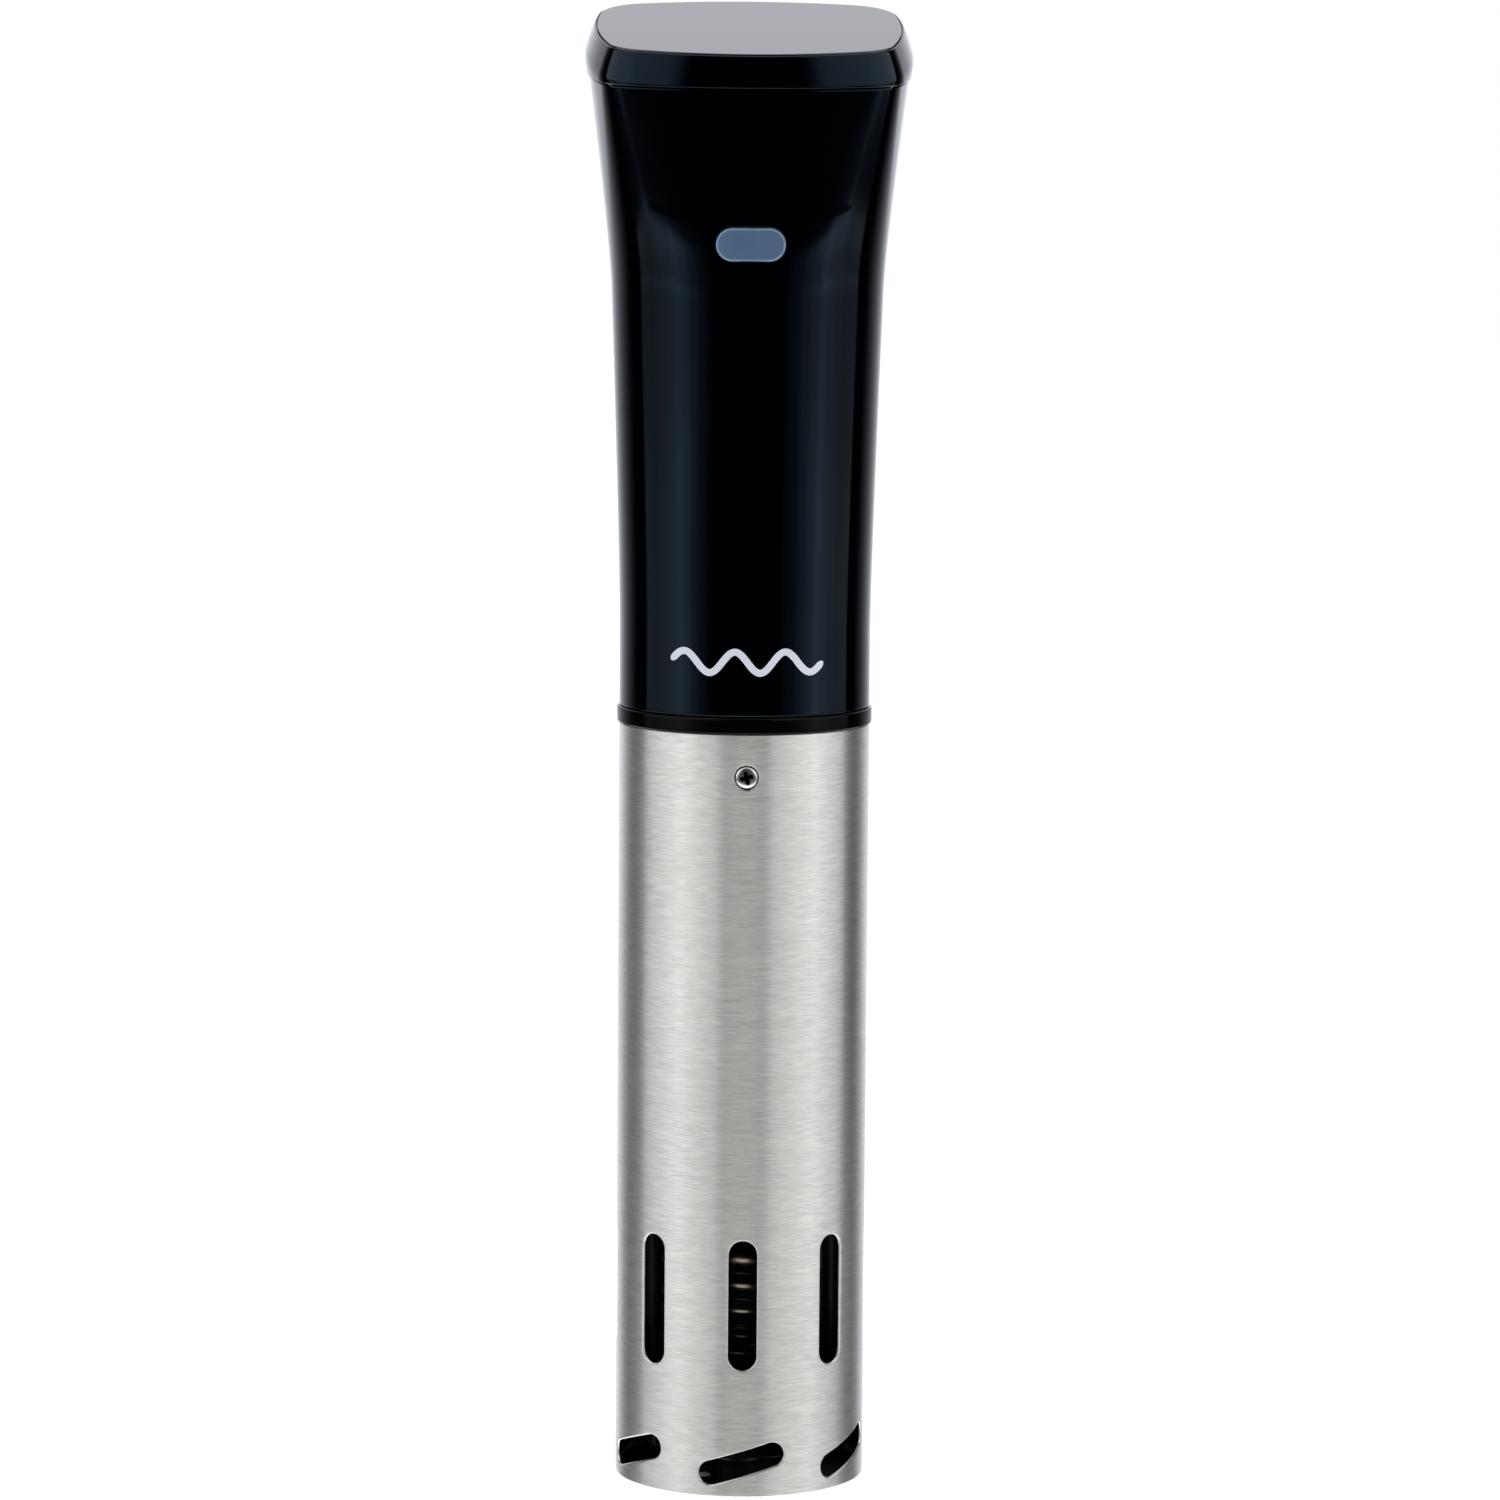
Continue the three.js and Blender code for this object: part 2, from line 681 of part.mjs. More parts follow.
// The bracket on the housing's back, with two ears for the pin and a fixed jaw beside the tube.
function clipBracket() {
  const { pivotY, pivotZ, pinRadius, mouth, jawBottom } = clip;
  const jaw = mouth - 2;
  const profile = [
    [26, 214],
    [26, jawBottom + 2],
    [jaw - 1, jawBottom],
    [jaw, jawBottom + 1.5],
    [jaw, 204],
    [38, 210],
    [38, 266],
    [35, 270],
    [26, 270],
  ];
  const block = fromSide(profile, 26);
  const earOutline = [
    [34, pivotZ - 14],
    [pivotY, pivotZ - 6],
    [pivotY + 4.2, pivotZ - 4.2],
    [pivotY + 6, pivotZ],
    [pivotY + 4.2, pivotZ + 4.2],
    [pivotY, pivotZ + 6],
    [34, pivotZ + 14],
  ];
  const ears = [-1, 1].map((side) =>
    fromSide(earOutline, 3, [[pivotY, pivotZ, pinRadius + 0.15]]).translate(side * 11, 0, 0));
  const fitted = cut(
    join(block, ...ears),
    housingSpace(0.3),
    post(collar.radius + 0.3, 100, 200, 60),
    ...clipScrews.map((z) => depthPin(1.8, 20, 60, 12, 0, z)),
    ...clipScrews.map((z) => depthPin(3.3, 36.2, 60, 16, 0, z)),
  );
  return fitted;
}

function jawPad() {
  return box([-11, clip.mouth - 1.95, clip.jawBottom + 3], [11, clip.mouth, clip.jawTop + 4]);
}

// The lever: a thumb tab above the pin and a jaw below it, with two webs that hold the pin. The plate
// bows away from the housing between the two, which leaves room for a rolled rim.
function clipLever() {
  const { pivotY, pivotZ, pinRadius, width, mouth, closed, jawBottom } = clip;
  const padSeat = mouth + closed + 2.3;
  const plate = fromSide(
    [
      [padSeat, jawBottom - 1],
      [padSeat + 2.2, jawBottom - 3],
      [padSeat + 3.6, jawBottom - 2],
      [padSeat + 3.4, jawBottom + 22],
      [padSeat + 5, jawBottom + 27],
      [pivotY + 9.6, pivotZ - 25],
      [pivotY + 11, pivotZ - 20],
      [pivotY + 11, pivotZ + 6],
      [pivotY + 13, pivotZ + 20],
      [pivotY + 17.6, pivotZ + 40],
      [pivotY + 18.2, pivotZ + 46],
      [pivotY + 15.6, pivotZ + 47],
      [pivotY + 14, pivotZ + 41],
      [pivotY + 9.6, pivotZ + 21],
      [pivotY + 7.4, pivotZ + 7],
      [pivotY + 7.4, pivotZ - 19],
      [pivotY + 6.4, pivotZ - 23],
      [padSeat + 1.4, jawBottom + 29],
      [padSeat, jawBottom + 24],
    ],
    width,
  );
  const webOutline = [
    [pivotY + 8, pivotZ - 18],
    [pivotY + 8, pivotZ + 16],
    [pivotY, pivotZ + 5],
    [pivotY - 3.6, pivotZ + 3.6],
    [pivotY - 5, pivotZ],
    [pivotY - 3.6, pivotZ - 3.6],
    [pivotY, pivotZ - 5],
  ];
  const webs = [-1, 1].map((side) =>
    fromSide(webOutline, 2.6, [[pivotY, pivotZ, pinRadius + 0.15]]).translate(side * 7.9, 0, 0));
  return join(plate, ...webs);
}

function leverPad() {
  const face = clip.mouth + clip.closed;
  return box([-11, face, clip.jawBottom + 3], [11, face + 2.25, clip.jawTop]);
}

function clipPin() {
  return join(
    crossPin(clip.pinRadius, 26.4, 16, clip.pivotY, clip.pivotZ),
    crossPin(clip.pinRadius + 1, 1.2, 16, clip.pivotY, clip.pivotZ).translate(13.4, 0, 0),
  );
}

// A torsion spring round the pin, with a leg on the bracket and a leg on the lever.
function clipSpring() {
  const { pivotY, pivotZ } = clip;
  const [wire, radius, half, turns] = [0.6, 3.1, 5.2, 4.5];
  const points = [new THREE.Vector3(-half - 0.4, pivotY - 7.4, pivotZ + 17)];
  const steps = Math.round(turns * 10);
  for (let i = 0; i <= steps; i += 1) {
    const share = i / steps;
    const angle = Math.PI + share * turns * TURN;
    points.push(
      new THREE.Vector3(
        -half + 2 * half * share,
        pivotY + radius * Math.cos(angle),
        pivotZ - radius * Math.sin(angle),
      ),
    );
  }
  points.push(new THREE.Vector3(half + 0.4, pivotY + 6.2, pivotZ + 15));
  return tubeAlong(points, wire, 3, 66);
}

function cordGland() {
  const { height, barrel, flange, bore, end } = gland;
  const skin = backOf(height);
  const boss = revolved(
    [
      [0, skin - 6],
      [barrel, skin - 6],
      [barrel, skin - 1],
      [flange, skin - 1],
      [flange, skin + 2.4],
      [flange - 1, skin + 3.4],
      [barrel, skin + 3.6],
      [barrel - 0.8, end],
      [0, end],
    ],
    24,
  );
  const turned = boss.rotateX(-Math.PI / 2).translate(0, 0, height);
  const barrelZone = depthPin(barrel + 0.01, 20, skin + 10, 24, 0, height);
  const outside = cut(turned, housingSpace(0.3));
  return cut(join(outside, common(turned, barrelZone)), depthPin(bore, 20, 60, 20, 0, height));
}

// ---------- Assembly ----------

const circulator = new THREE.Group();

function add(name, geometry, finish, parent = circulator) {
  const mesh = new THREE.Mesh(geometry, finish);
  mesh.name = name;
  parent.add(mesh);
  return mesh;
}

function assembleTube() {
  add("steel_tube", steelTube(), brushedSteel);
  add("foot_plate", footPlate(), brushedSteel);
  add("lower_bush", lowerBush(), bronze);
  add("pump_cover", pumpCover(), brushedSteel);
  rodPlaces().forEach(([x, y], i) => {
    add(`support_rod_${i + 1}`, supportRod(), polishedSteel).position.set(x, y, 0);
  });
  add("heater_coil", heaterCoil(), polishedSteel);
  probes.forEach(({ name, radius, tip, angle, circle }) => {
    add(name, probe(radius, tip), polishedSteel).position.set(...onCircle(circle, angle), 0);
  });
  add("shaft_guide", shaftGuide(), polishedSteel);
  add("guide_bush", guideBush(), bronze);
  add("bulkhead", bulkheadBody(), greyPlastic);
  add("shaft_seal", shaftSeal(), blackRubber);
  add("seal_ring", sealRing(), blackRubber);
  add("collar_ring", collarRing(), blackRubber);
  for (let i = 0; i < tubeScrews.count; i += 1) {
    const spoke = new THREE.Group();
    spoke.rotation.z = (i * TURN) / tubeScrews.count;
    const screw = add(`tube_screw_${i + 1}`, countersunkScrew(tubeScrews), polishedSteel, spoke);
    screw.rotation.x = Math.PI / 2;
    screw.position.set(0, -tube.radius, tubeScrews.height);
    circulator.add(spoke);
  }
}

function assembleRotor() {
  const rotor = new THREE.Group();
  add("drive_shaft", post(shaft.radius, shaft.bottom, shaft.top, 16), polishedSteel, rotor);
  add("impeller", impeller(), blackSatin, rotor);
  add("shaft_coupling", shaftCoupling(), whiteNylon, rotor);
  add("motor_shaft", post(motor.shaftRadius, shaft.top + GAP, 258, 16), polishedSteel, rotor);
  add("cooling_fan", coolingFan(), blackSatin, rotor);
  circulator.add(rotor);
}

function assembleMotor() {
  add("motor_can", motorCan(), zincPlate);
  add("motor_bracket", motorBracket(), zincPlate);
  [-12.5, 12.5].forEach((x, i) => {
    const screw = add(`motor_screw_${i + 1}`, panScrew(2.7, 1.35, 7), zincPlate);
    screw.rotation.x = Math.PI;
    screw.position.set(x, 0, bulkhead.top);
  });
}

function assembleElectronics() {
  add("inner_chassis", innerChassis(), greyPlastic);
  add("power_board", powerBoard(), boardGreen);
  add("transformer", transformer(), componentYellow);
  add("capacitor", capacitor(), blackSatin);
  add("relay", relay(), ledBlue);
  add("terminal_block", terminalBlock(), boardGreen);
  add("fuse", fuse(), whiteNylon);
  add("heat_sink", heatSink(), zincPlate);
  add("status_board", statusBoard(), boardGreen);
  add("status_led", statusLed(), whiteNylon);
}

// The display board and what stands on it, all square to the sloping panel.
function assembleDisplay() {
  const display = new THREE.Group();
  display.rotation.x = Math.atan(panelPlane.rise);
  display.position.set(0, 0, panelPlane.height);
  const boardTop = -8.4;
  const under = -2.4;
  add("display_board", box([-25, -22, boardTop - 1.6], [25, 21.5, boardTop]), boardGreen, display);
  add("digit_display", box([-17, 1, boardTop + 0.05], [17, 17, under]), blackSatin, display);
  [-18, -6, 6, 18].forEach((x, i) => {
    add(`touch_spring_${i + 1}`, post(2.6, boardTop + 0.05, under, 14), springSteel, display)
      .position.set(x, -14, 0);
  });
  circulator.add(display);
}

function ribbonCable() {
  const [half, thick] = [6, 0.4];
  const strip = new THREE.Shape([
    new THREE.Vector2(-half, -thick),
    new THREE.Vector2(half, -thick),
    new THREE.Vector2(half, thick),
    new THREE.Vector2(-half, thick),
  ]);
  const path = new THREE.CatmullRomCurve3([
    new THREE.Vector3(0, 8, 349.6),
    new THREE.Vector3(0, 8.6, 346),
    new THREE.Vector3(0, 11.6, 342.4),
    new THREE.Vector3(0, 15.8, 339.4),
    new THREE.Vector3(0, 17.4, 335.6),
    new THREE.Vector3(0, 17.5, 330),
  ]);
  return new THREE.ExtrudeGeometry(strip, { extrudePath: path, steps: 10, bevelEnabled: false });
}

function assembleHead() {
  add("upper_housing", upperHousing(), blackGloss);
  add("status_lens", statusLens(), lensPlastic);
  add("top_bezel", topBezel(), blackGloss);
  add("touch_panel", touchPanel(), panelGlass);
  add("ribbon_cable", ribbonCable(), cableGrey);
  add("cord_gland", cordGland(), blackSatin);
}

function assembleClip() {
  add("clip_bracket", clipBracket(), blackSatin);
  add("jaw_pad", jawPad(), blackRubber);
  clipScrews.forEach((z, i) => {
    const screw = add(`clip_screw_${i + 1}`, panScrew(2.8, 1.5, 8), zincPlate);
    screw.rotation.x = -Math.PI / 2;
    screw.position.set(0, 36.3, z);
  });
  add("clip_pin", clipPin(), polishedSteel);
  add("clip_spring", clipSpring(), springSteel);
  add("clip_lever", clipLever(), blackSatin);
  add("lever_pad", leverPad(), blackRubber);
}

assembleTube();
assembleRotor();
assembleMotor();
assembleElectronics();
assembleDisplay();
assembleHead();
assembleClip();

export default circulator;
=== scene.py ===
"""Fine surfaces, materials, studio and camera for the sous vide circulator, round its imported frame."""

import json
import math

import bmesh
import bpy
from mathutils import Matrix, Vector


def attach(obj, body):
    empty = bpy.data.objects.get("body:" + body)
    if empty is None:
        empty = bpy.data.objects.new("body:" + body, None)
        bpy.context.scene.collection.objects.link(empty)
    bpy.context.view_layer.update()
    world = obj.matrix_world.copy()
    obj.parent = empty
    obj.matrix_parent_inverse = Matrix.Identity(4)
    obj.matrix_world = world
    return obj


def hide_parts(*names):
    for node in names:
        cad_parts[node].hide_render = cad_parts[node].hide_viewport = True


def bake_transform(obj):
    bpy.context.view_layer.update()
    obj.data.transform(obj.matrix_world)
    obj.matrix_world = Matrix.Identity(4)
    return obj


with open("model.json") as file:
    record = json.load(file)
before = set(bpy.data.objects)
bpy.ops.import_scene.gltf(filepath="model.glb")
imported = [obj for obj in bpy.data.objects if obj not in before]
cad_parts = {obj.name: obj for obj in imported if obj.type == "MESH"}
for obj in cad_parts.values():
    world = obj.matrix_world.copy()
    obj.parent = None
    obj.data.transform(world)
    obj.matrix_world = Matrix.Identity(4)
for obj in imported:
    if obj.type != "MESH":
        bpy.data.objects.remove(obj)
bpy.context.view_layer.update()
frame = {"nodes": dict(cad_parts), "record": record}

MM = 0.001
TURN = 2 * math.pi
STEPS = 240  # points round the body

# ---------- Dimensions, in millimetres as in the CAD source ----------

TUBE_R, TUBE_WALL, TUBE_TOP = 31, 0.8, 188.9
INLETS = {"angles": (0, 45, 90, 157.5, 202.5, 270, 315), "width": 7, "length": 32.5, "height": 47.9}
OUTLETS = {"angles": (0, 60, 300), "width": 6.1, "length": 22.2, "height": 8.2, "slope": math.radians(16.6)}
SCREWS = {"angles": (0, 120, 240), "height": 178.6, "radius": 2.75}
COLLAR_R, COLLAR_TOP = 31.6, 193.2
HOUSING_BOTTOM, HOUSING_WALL = 193.45, 2.2
TAPER, TAPER_FROM, TAPER_TO, FLARE_FROM = 4.4, 210, 353, 295
HEAD_HALF, HEAD_SIDE_ARC = 39.7, 115
FRONT_FACE, BACK_FACE = (37.5, 92, 9), (35.8, 98, 19)  # half depth, arc's radius, corner's radius
SEAM, CREASE, PANEL = (348, 0.094), (353, 0.208), (359.8, 0.196)  # height on the axis, rise
PROUD, CHAMFER, RIM, RIM_DROP, LEDGE = 0.6, 2.4, 0.4, 0.3, 2.1
LENS_REACH, LENS_R, LENS_Z = 4.4, 4, 307.7  # half the straight part, radius of the round ends, height
PIVOT_Y, PIVOT_Z, PIN_R = 46.5, 240, 1.8
CLIP_SCREWS = (221, 259)
GLAND_Z = 320


# ---------- Mesh tools ----------


class Skin:
    """Faces given by their corners in millimetres, which share their vertices where they meet."""

    def __init__(self):
        self.points, self.faces, self.places = [], [], {}

    def vertex(self, p):
        key = (round(p[0], 4), round(p[1], 4), round(p[2], 4))
        if key not in self.places:
            self.places[key] = len(self.points)
            self.points.append((p[0] * MM, p[1] * MM, p[2] * MM))
        return self.places[key]

    def face(self, corners):
        ids = []
        for i in map(self.vertex, corners):
            if i not in ids:
                ids.append(i)
        if len(ids) > 2:
            self.faces.append(ids)

    def strip(self, low, high, closed=True):
        for i in range(len(low) if closed else len(low) - 1):
            j = (i + 1) % len(low)
            self.face([low[i], low[j], high[j], high[i]])

    def rings(self, rings, closed=True):
        for low, high in zip(rings, rings[1:]):
            self.strip(low, high, closed)

    def solid(self, rings):
        """Rings joined one to the next, with a face over the first and over the last."""
        self.rings(rings)
        self.face(rings[0])
        self.face(rings[-1])

    def mesh(self, name):
        mesh = bpy.data.meshes.new(name)
        mesh.from_pydata(self.points, [], self.faces)
        bm = bmesh.new()
        bm.from_mesh(mesh)
        bmesh.ops.remove_doubles(bm, verts=bm.verts, dist=5e-7)
        bmesh.ops.recalc_face_normals(bm, faces=bm.faces)
        bm.to_mesh(mesh)
        bm.free()
        return mesh

    def obj(self, name):
        return loose(name, self.mesh(name))


def loose(name, data):
    """A new object in the scene."""
    obj = bpy.data.objects.new(name, data)
    bpy.context.scene.collection.objects.link(obj)
    return obj


def settle(obj):
    """Takes the modifiers into the mesh."""
    bpy.context.view_layer.update()
    made = bpy.data.meshes.new_from_object(obj.evaluated_get(bpy.context.evaluated_depsgraph_get()))
    obj.modifiers.clear()
    obj.data = made
    return obj


def combine(obj, others, operation):
    """Cuts the others from obj, or adds them to it, and removes them."""
    for other in others:
        modifier = obj.modifiers.new("boolean", "BOOLEAN")
        modifier.operation = operation
        modifier.solver = "EXACT"
        modifier.object = other
        settle(obj)
        bpy.data.objects.remove(other)
    return obj


def bevel(obj, width, segments=3):
    modifier = obj.modifiers.new("bevel", "BEVEL")
    modifier.width = width * MM
    modifier.segments = segments
    modifier.limit_method = "ANGLE"
    modifier.angle_limit = math.radians(35)
    modifier.use_clamp_overlap = True
    return settle(obj)


def piece(obj, body, material, slot, replaces=(), smooth=38, twist=None):
    """Finishes an object as a shown piece, which rides on a body; given a twist, it stays on its own with its
    transform baked.
    """
    obj.data.materials.clear()
    obj.data.materials.append(material)
    obj.data.shade_smooth()
    obj.data.set_sharp_from_angle(angle=math.radians(smooth))
    modifier = obj.modifiers.new("normals", "WEIGHTED_NORMAL")
    modifier.keep_sharp = True
    if twist:
        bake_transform(obj)
    else:
        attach(obj, body)
    if replaces:
        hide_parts(*replaces)
    return obj


def polar(angle, radius, z):
    """A point at an angle from the front, turning towards +X."""
    return (radius * math.sin(angle), -radius * math.cos(angle), z)


def lathe(profile, steps):
    """A body from (radius, height) points that start and end on the axis or at the same place."""
    skin = Skin()
    skin.rings([[polar(i * TURN / steps, r, z) for i in range(steps)] for r, z in profile])
    return skin


def bend(a, corner, b, steps=6):
    """Points along a smooth bend from a to b, pulled towards the corner between them."""
    a, corner, b = Vector(a), Vector(corner), Vector(b)
    return [a * (1 - t) ** 2 + corner * 2 * t * (1 - t) + b * t**2 for t in spread(0, 1, steps)]


def rounded(points, radii, steps):
    """A closed outline with each corner rounded to its own radius."""
    out = []
    for i, (here, r) in enumerate(zip(points, radii)):
        p = Vector(here)
        before, after = Vector(points[i - 1]) - p, Vector(points[(i + 1) % len(points)]) - p
        reach = min(r, before.length * 0.48, after.length * 0.48)
        if r:
            out += bend(p + before.normalized() * reach, p, p + after.normalized() * reach, steps)
        else:
            out.append(p)
    return out


def slab(name, profile, width, x=0):
    """A side profile of (y, z) points made solid across X."""
    skin = Skin()
    left = [(x - width / 2, y, z) for y, z in profile]
    right = [(x + width / 2, y, z) for y, z in profile]
    skin.solid([left, right])
    return skin.obj(name)


def sweep(path, radius, sides):
    """A round bar along a path of points, with domed ends."""
    skin = Skin()
    path = [Vector(p) for p in path]
    tangents = [(b - a).normalized() for a, b in zip(path, path[1:])]
    tangents = [tangents[0], *[(a + b).normalized() for a, b in zip(tangents, tangents[1:])], tangents[-1]]
    side = tangents[0].orthogonal().normalized()
    dome = [(0, 0.96), (0.3, 0.72), (0.72, 0.3), (0.95, 0.08)]  # share of the radius, share past the end
    frames = []
    for point, tangent in zip(path, tangents):
        side = (side - tangent * side.dot(tangent)).normalized()
        frames.append((point, tangent, side, tangent.cross(side)))

    def ring(at, share, shift):
        point, tangent, u, v = at
        angles = [k * TURN / sides for k in range(sides)]
        centre = point + tangent * shift
        return [centre + (u * math.cos(a) + v * math.sin(a)) * radius * share for a in angles]

    rings = [ring(frames[0], max(share, 1e-3), -radius * past * 0.6) for share, past in dome]
    rings += [ring(at, 1, 0) for at in frames]
    rings += [ring(frames[-1], max(share, 1e-3), radius * past * 0.6) for share, past in reversed(dome)]
    skin.solid(rings)
    return skin


# ---------- Sheets with holes ----------


def middle_line(centre, reach, slope, radius):
    """For a round-ended hole: gives the nearest point of its middle line to p, and its half width."""
    c = Vector(centre)
    d = Vector((math.cos(slope), math.sin(slope)))

    def nearest(p):
        along = max(-reach, min(reach, (Vector(p) - c).dot(d)))
        return c + d * along, radius

    return nearest


def cell_edge(us, vs):
    """The grid points round a cell."""
    return (
        [(u, vs[0]) for u in us[:-1]]
        + [(us[-1], v) for v in vs[:-1]]
        + [(u, vs[-1]) for u in us[:0:-1]]
        + [(us[0], v) for v in vs[:0:-1]]
    )


def pierced(skin, place, edge, hole, wall, lip=0.22, rows=6):
    """Both sides of a sheet from a cell's edge in to a hole, and the hole's wall with rounded lips."""
    feet = [hole(p) for p in edge]
    units = [(Vector(p) - foot).normalized() for p, (foot, _) in zip(edge, feet)]

    def off(extra, depth):
        points = [foot + n * (r + extra) for (foot, r), n in zip(feet, units)]
        return [place(u, v, depth) for u, v in points]

    def between(t, depth):
        start = [foot + n * (r + lip * 2) for (foot, r), n in zip(feet, units)]
        points = [a + (Vector(p) - a) * t for a, p in zip(start, edge)]
        return [place(u, v, depth) for u, v in points]

    shares = [(k / rows) ** 1.5 for k in range(rows, -1, -1)]
    turns = spread(0, math.pi / 2, 6)
    skin.rings(
        [between(t, 0) for t in shares]
        + [off(lip * (1 - math.sin(a)), lip * (1 - math.cos(a))) for a in turns]
        + [off(lip * (1 - math.sin(a)), wall - lip * (1 - math.cos(a))) for a in reversed(turns)]
        + [between(t, wall) for t in reversed(shares)]
    )


def plain(skin, place, us, vs, wall):
    """Both sides of a sheet with no hole."""
    for depth in (0, wall):
        skin.rings([[place(u, v, depth) for u in us] for v in vs], closed=False)


def spread(start, end, count):
    return [start + (end - start) * i / count for i in range(count + 1)]


# ---------- Outline of the housing and the head ----------


def ramp(t, softness):
    """0 up to t = 0, then a soft bend into a slope that passes 1 at t = 1."""
    return 0 if t <= 0 else t * t * (1 + softness) / (t + softness)


def corner_centre(face):
    """Where the rounded corner that joins a face's arc to the side's is centred."""
    depth, arc, corner = face
    face_r, side_r = arc - corner, HEAD_SIDE_ARC - corner
    x, y = HEAD_HALF - corner, depth - corner
    for _ in range(12):
        x = HEAD_HALF - corner - side_r + math.sqrt(side_r**2 - y**2)
        y = depth - corner - face_r + math.sqrt(face_r**2 - x**2)
    return x, y


CORNERS = {FRONT_FACE: corner_centre(FRONT_FACE), BACK_FACE: corner_centre(BACK_FACE)}


def head_outline(angle):
    """The flared head's outline at its widest, where it faces the given angle."""
    nx, ny = math.sin(angle), -math.cos(angle)
    face = FRONT_FACE if ny < 0 else BACK_FACE
    depth, arc, corner = face
    cx, cy = CORNERS[face]
    face_r, side_r = arc - corner, HEAD_SIDE_ARC - corner
    ax, ay = abs(nx), abs(ny)
    x, y = cx, cy
    if face_r * ax < cx:
        x, y = face_r * ax, depth - corner - face_r * (1 - ay)
    elif side_r * ay < cy:
        x, y = HEAD_HALF - corner - side_r * (1 - ax), side_r * ay
    return math.copysign(x, nx) + corner * nx, math.copysign(y, ny) + corner * ny


HEAD = {}


def outline(angle, z, offset=0):
    """A point of the housing's outside at a height, where its wall faces the given angle."""
    key = round(angle, 9)
    if key not in HEAD:
        HEAD[key] = head_outline(angle)
    hx, hy = HEAD[key]
    nx, ny = math.sin(angle), -math.cos(angle)
    taper = ramp((z - TAPER_FROM) / (TAPER_TO - TAPER_FROM), 0.15)
    flare = ramp((z - FLARE_FROM) / (TAPER_TO - FLARE_FROM), 0.3)
    r = TUBE_R + TAPER * taper + offset
    full = TUBE_R + TAPER
    return Vector((r * nx + flare * (hx - full * nx), r * ny + flare * (hy - full * ny), z))


def on_plane(plane, angle, offset=0, lift=0):
    """The same, where that surface meets a sloping plane."""
    height, rise = plane[0] + lift, plane[1]
    p = outline(angle, height, offset)
    for _ in range(4):
        p = outline(angle, height + rise * p.y, offset)
    p.z = height + rise * p.y
    return p


def front_point(x, z, depth=0):
    """The point of the housing's front at this x and height."""
    low, high = -1.2, 1.2
    for _ in range(40):
        middle = (low + high) / 2
        if outline(middle, z, -depth).x < x:
            low = middle
        else:
            high = middle
    return outline(low, z, -depth)


# ---------- Materials ----------


def linear(r, g, b):
    """A colour in linear light, from screen values of 0 to 255."""

    def channel(c):
        c /= 255
        return c / 12.92 if c <= 0.04045 else ((c + 0.055) / 1.055) ** 2.4

    return (channel(r), channel(g), channel(b))


def scaled(color, share):
    return tuple(min(1, c * share) for c in color)


class Net:
    """The shader nodes of a material or of the world."""

    def __init__(self, owner):
        owner.use_nodes = True
        self.nodes = owner.node_tree.nodes
        self.links = owner.node_tree.links

    def feed(self, node, inputs):
        """Gives a node its inputs, each a number, a colour or another node's output."""
        for key, value in inputs.items():
            socket = node.inputs[key]
            if isinstance(value, bpy.types.NodeSocket):
                self.links.new(value, socket)
            elif socket.type == "RGBA":
                socket.default_value = (*value, 1)
            else:
                socket.default_value = value

    def new(self, kind, inputs):
        node = self.nodes.new(kind)
        self.feed(node, inputs)
        return node

    def math(self, operation, *values):
        node = self.nodes.new("ShaderNodeMath")
        node.operation = operation
        self.feed(node, dict(enumerate(values)))
        return node.outputs[0]

    def product(self, *values):
        total = values[0]
        for value in values[1:]:
            total = self.math("MULTIPLY", total, value)
        return total

    def reach(self, a, b):
        """The distance to a point a across and b up."""
        return self.math("SQRT", self.math("ADD", self.product(a, a), self.product(b, b)))

    def coordinates(self, kind):
        """X, Y and Z of a spot, in the given kind of texture coordinates."""
        where = self.nodes.new("ShaderNodeTexCoord")
        return self.new("ShaderNodeSeparateXYZ", {0: where.outputs[kind]}).outputs

    def noise(self, scale, detail=4, roughness=0.55, distortion=0):
        """Noise in the piece's own space, stretched by a scale for each axis."""
        where = self.nodes.new("ShaderNodeTexCoord")
        mapping = self.new("ShaderNodeMapping", {"Vector": where.outputs["Object"], "Scale": scale})
        look = {"Scale": 1, "Detail": detail, "Roughness": roughness, "Distortion": distortion}
        return self.new("ShaderNodeTexNoise", {"Vector": mapping.outputs["Vector"], **look}).outputs["Fac"]

    def spanned(self, value, low, high, start=0.3, end=0.7, ease="LINEAR"):
        """Goes from low to high as a value goes from start to end, and stays there on either side."""
        node = self.nodes.new("ShaderNodeMapRange")
        node.interpolation_type = ease
        self.feed(node, {"Value": value, "From Min": start, "From Max": end, "To Min": low, "To Max": high})
        return node.outputs["Result"]

    def mixed(self, share, a, b):
        node = self.nodes.new("ShaderNodeMix")
        node.data_type = "RGBA"
        self.feed(node, {"Factor": share, "A": a, "B": b})
        return node.outputs["Result"]

    def bumped(self, height, distance, strength=1):
        """A normal that follows a height, with a distance in micrometres."""
        inputs = {"Height": height, "Distance": distance / 1e6, "Strength": strength}
        return self.new("ShaderNodeBump", inputs).outputs["Normal"]


def new_material(name):
    made = bpy.data.materials.new(name)
    net = Net(made)
    return made, net, net.nodes["Principled BSDF"]


def worn(net):
    """How far each spot is rubbed: in patches along the edges."""
    facing = net.nodes.new("ShaderNodeVectorMath")
    facing.operation = "DOT_PRODUCT"
    flat = net.nodes.new("ShaderNodeNewGeometry")
    soft = net.new("ShaderNodeBevel", {"Radius": 0.5 * MM})
    soft.samples = 3
    net.feed(facing, {0: flat.outputs["Normal"], 1: soft.outputs["Normal"]})
    edges = net.spanned(facing.outputs["Value"], 1, 0, 0.86, 0.985)
    patches = net.spanned(net.noise((420,) * 3), 0, 1, 0.45, 0.65)
    return net.product(edges, patches)


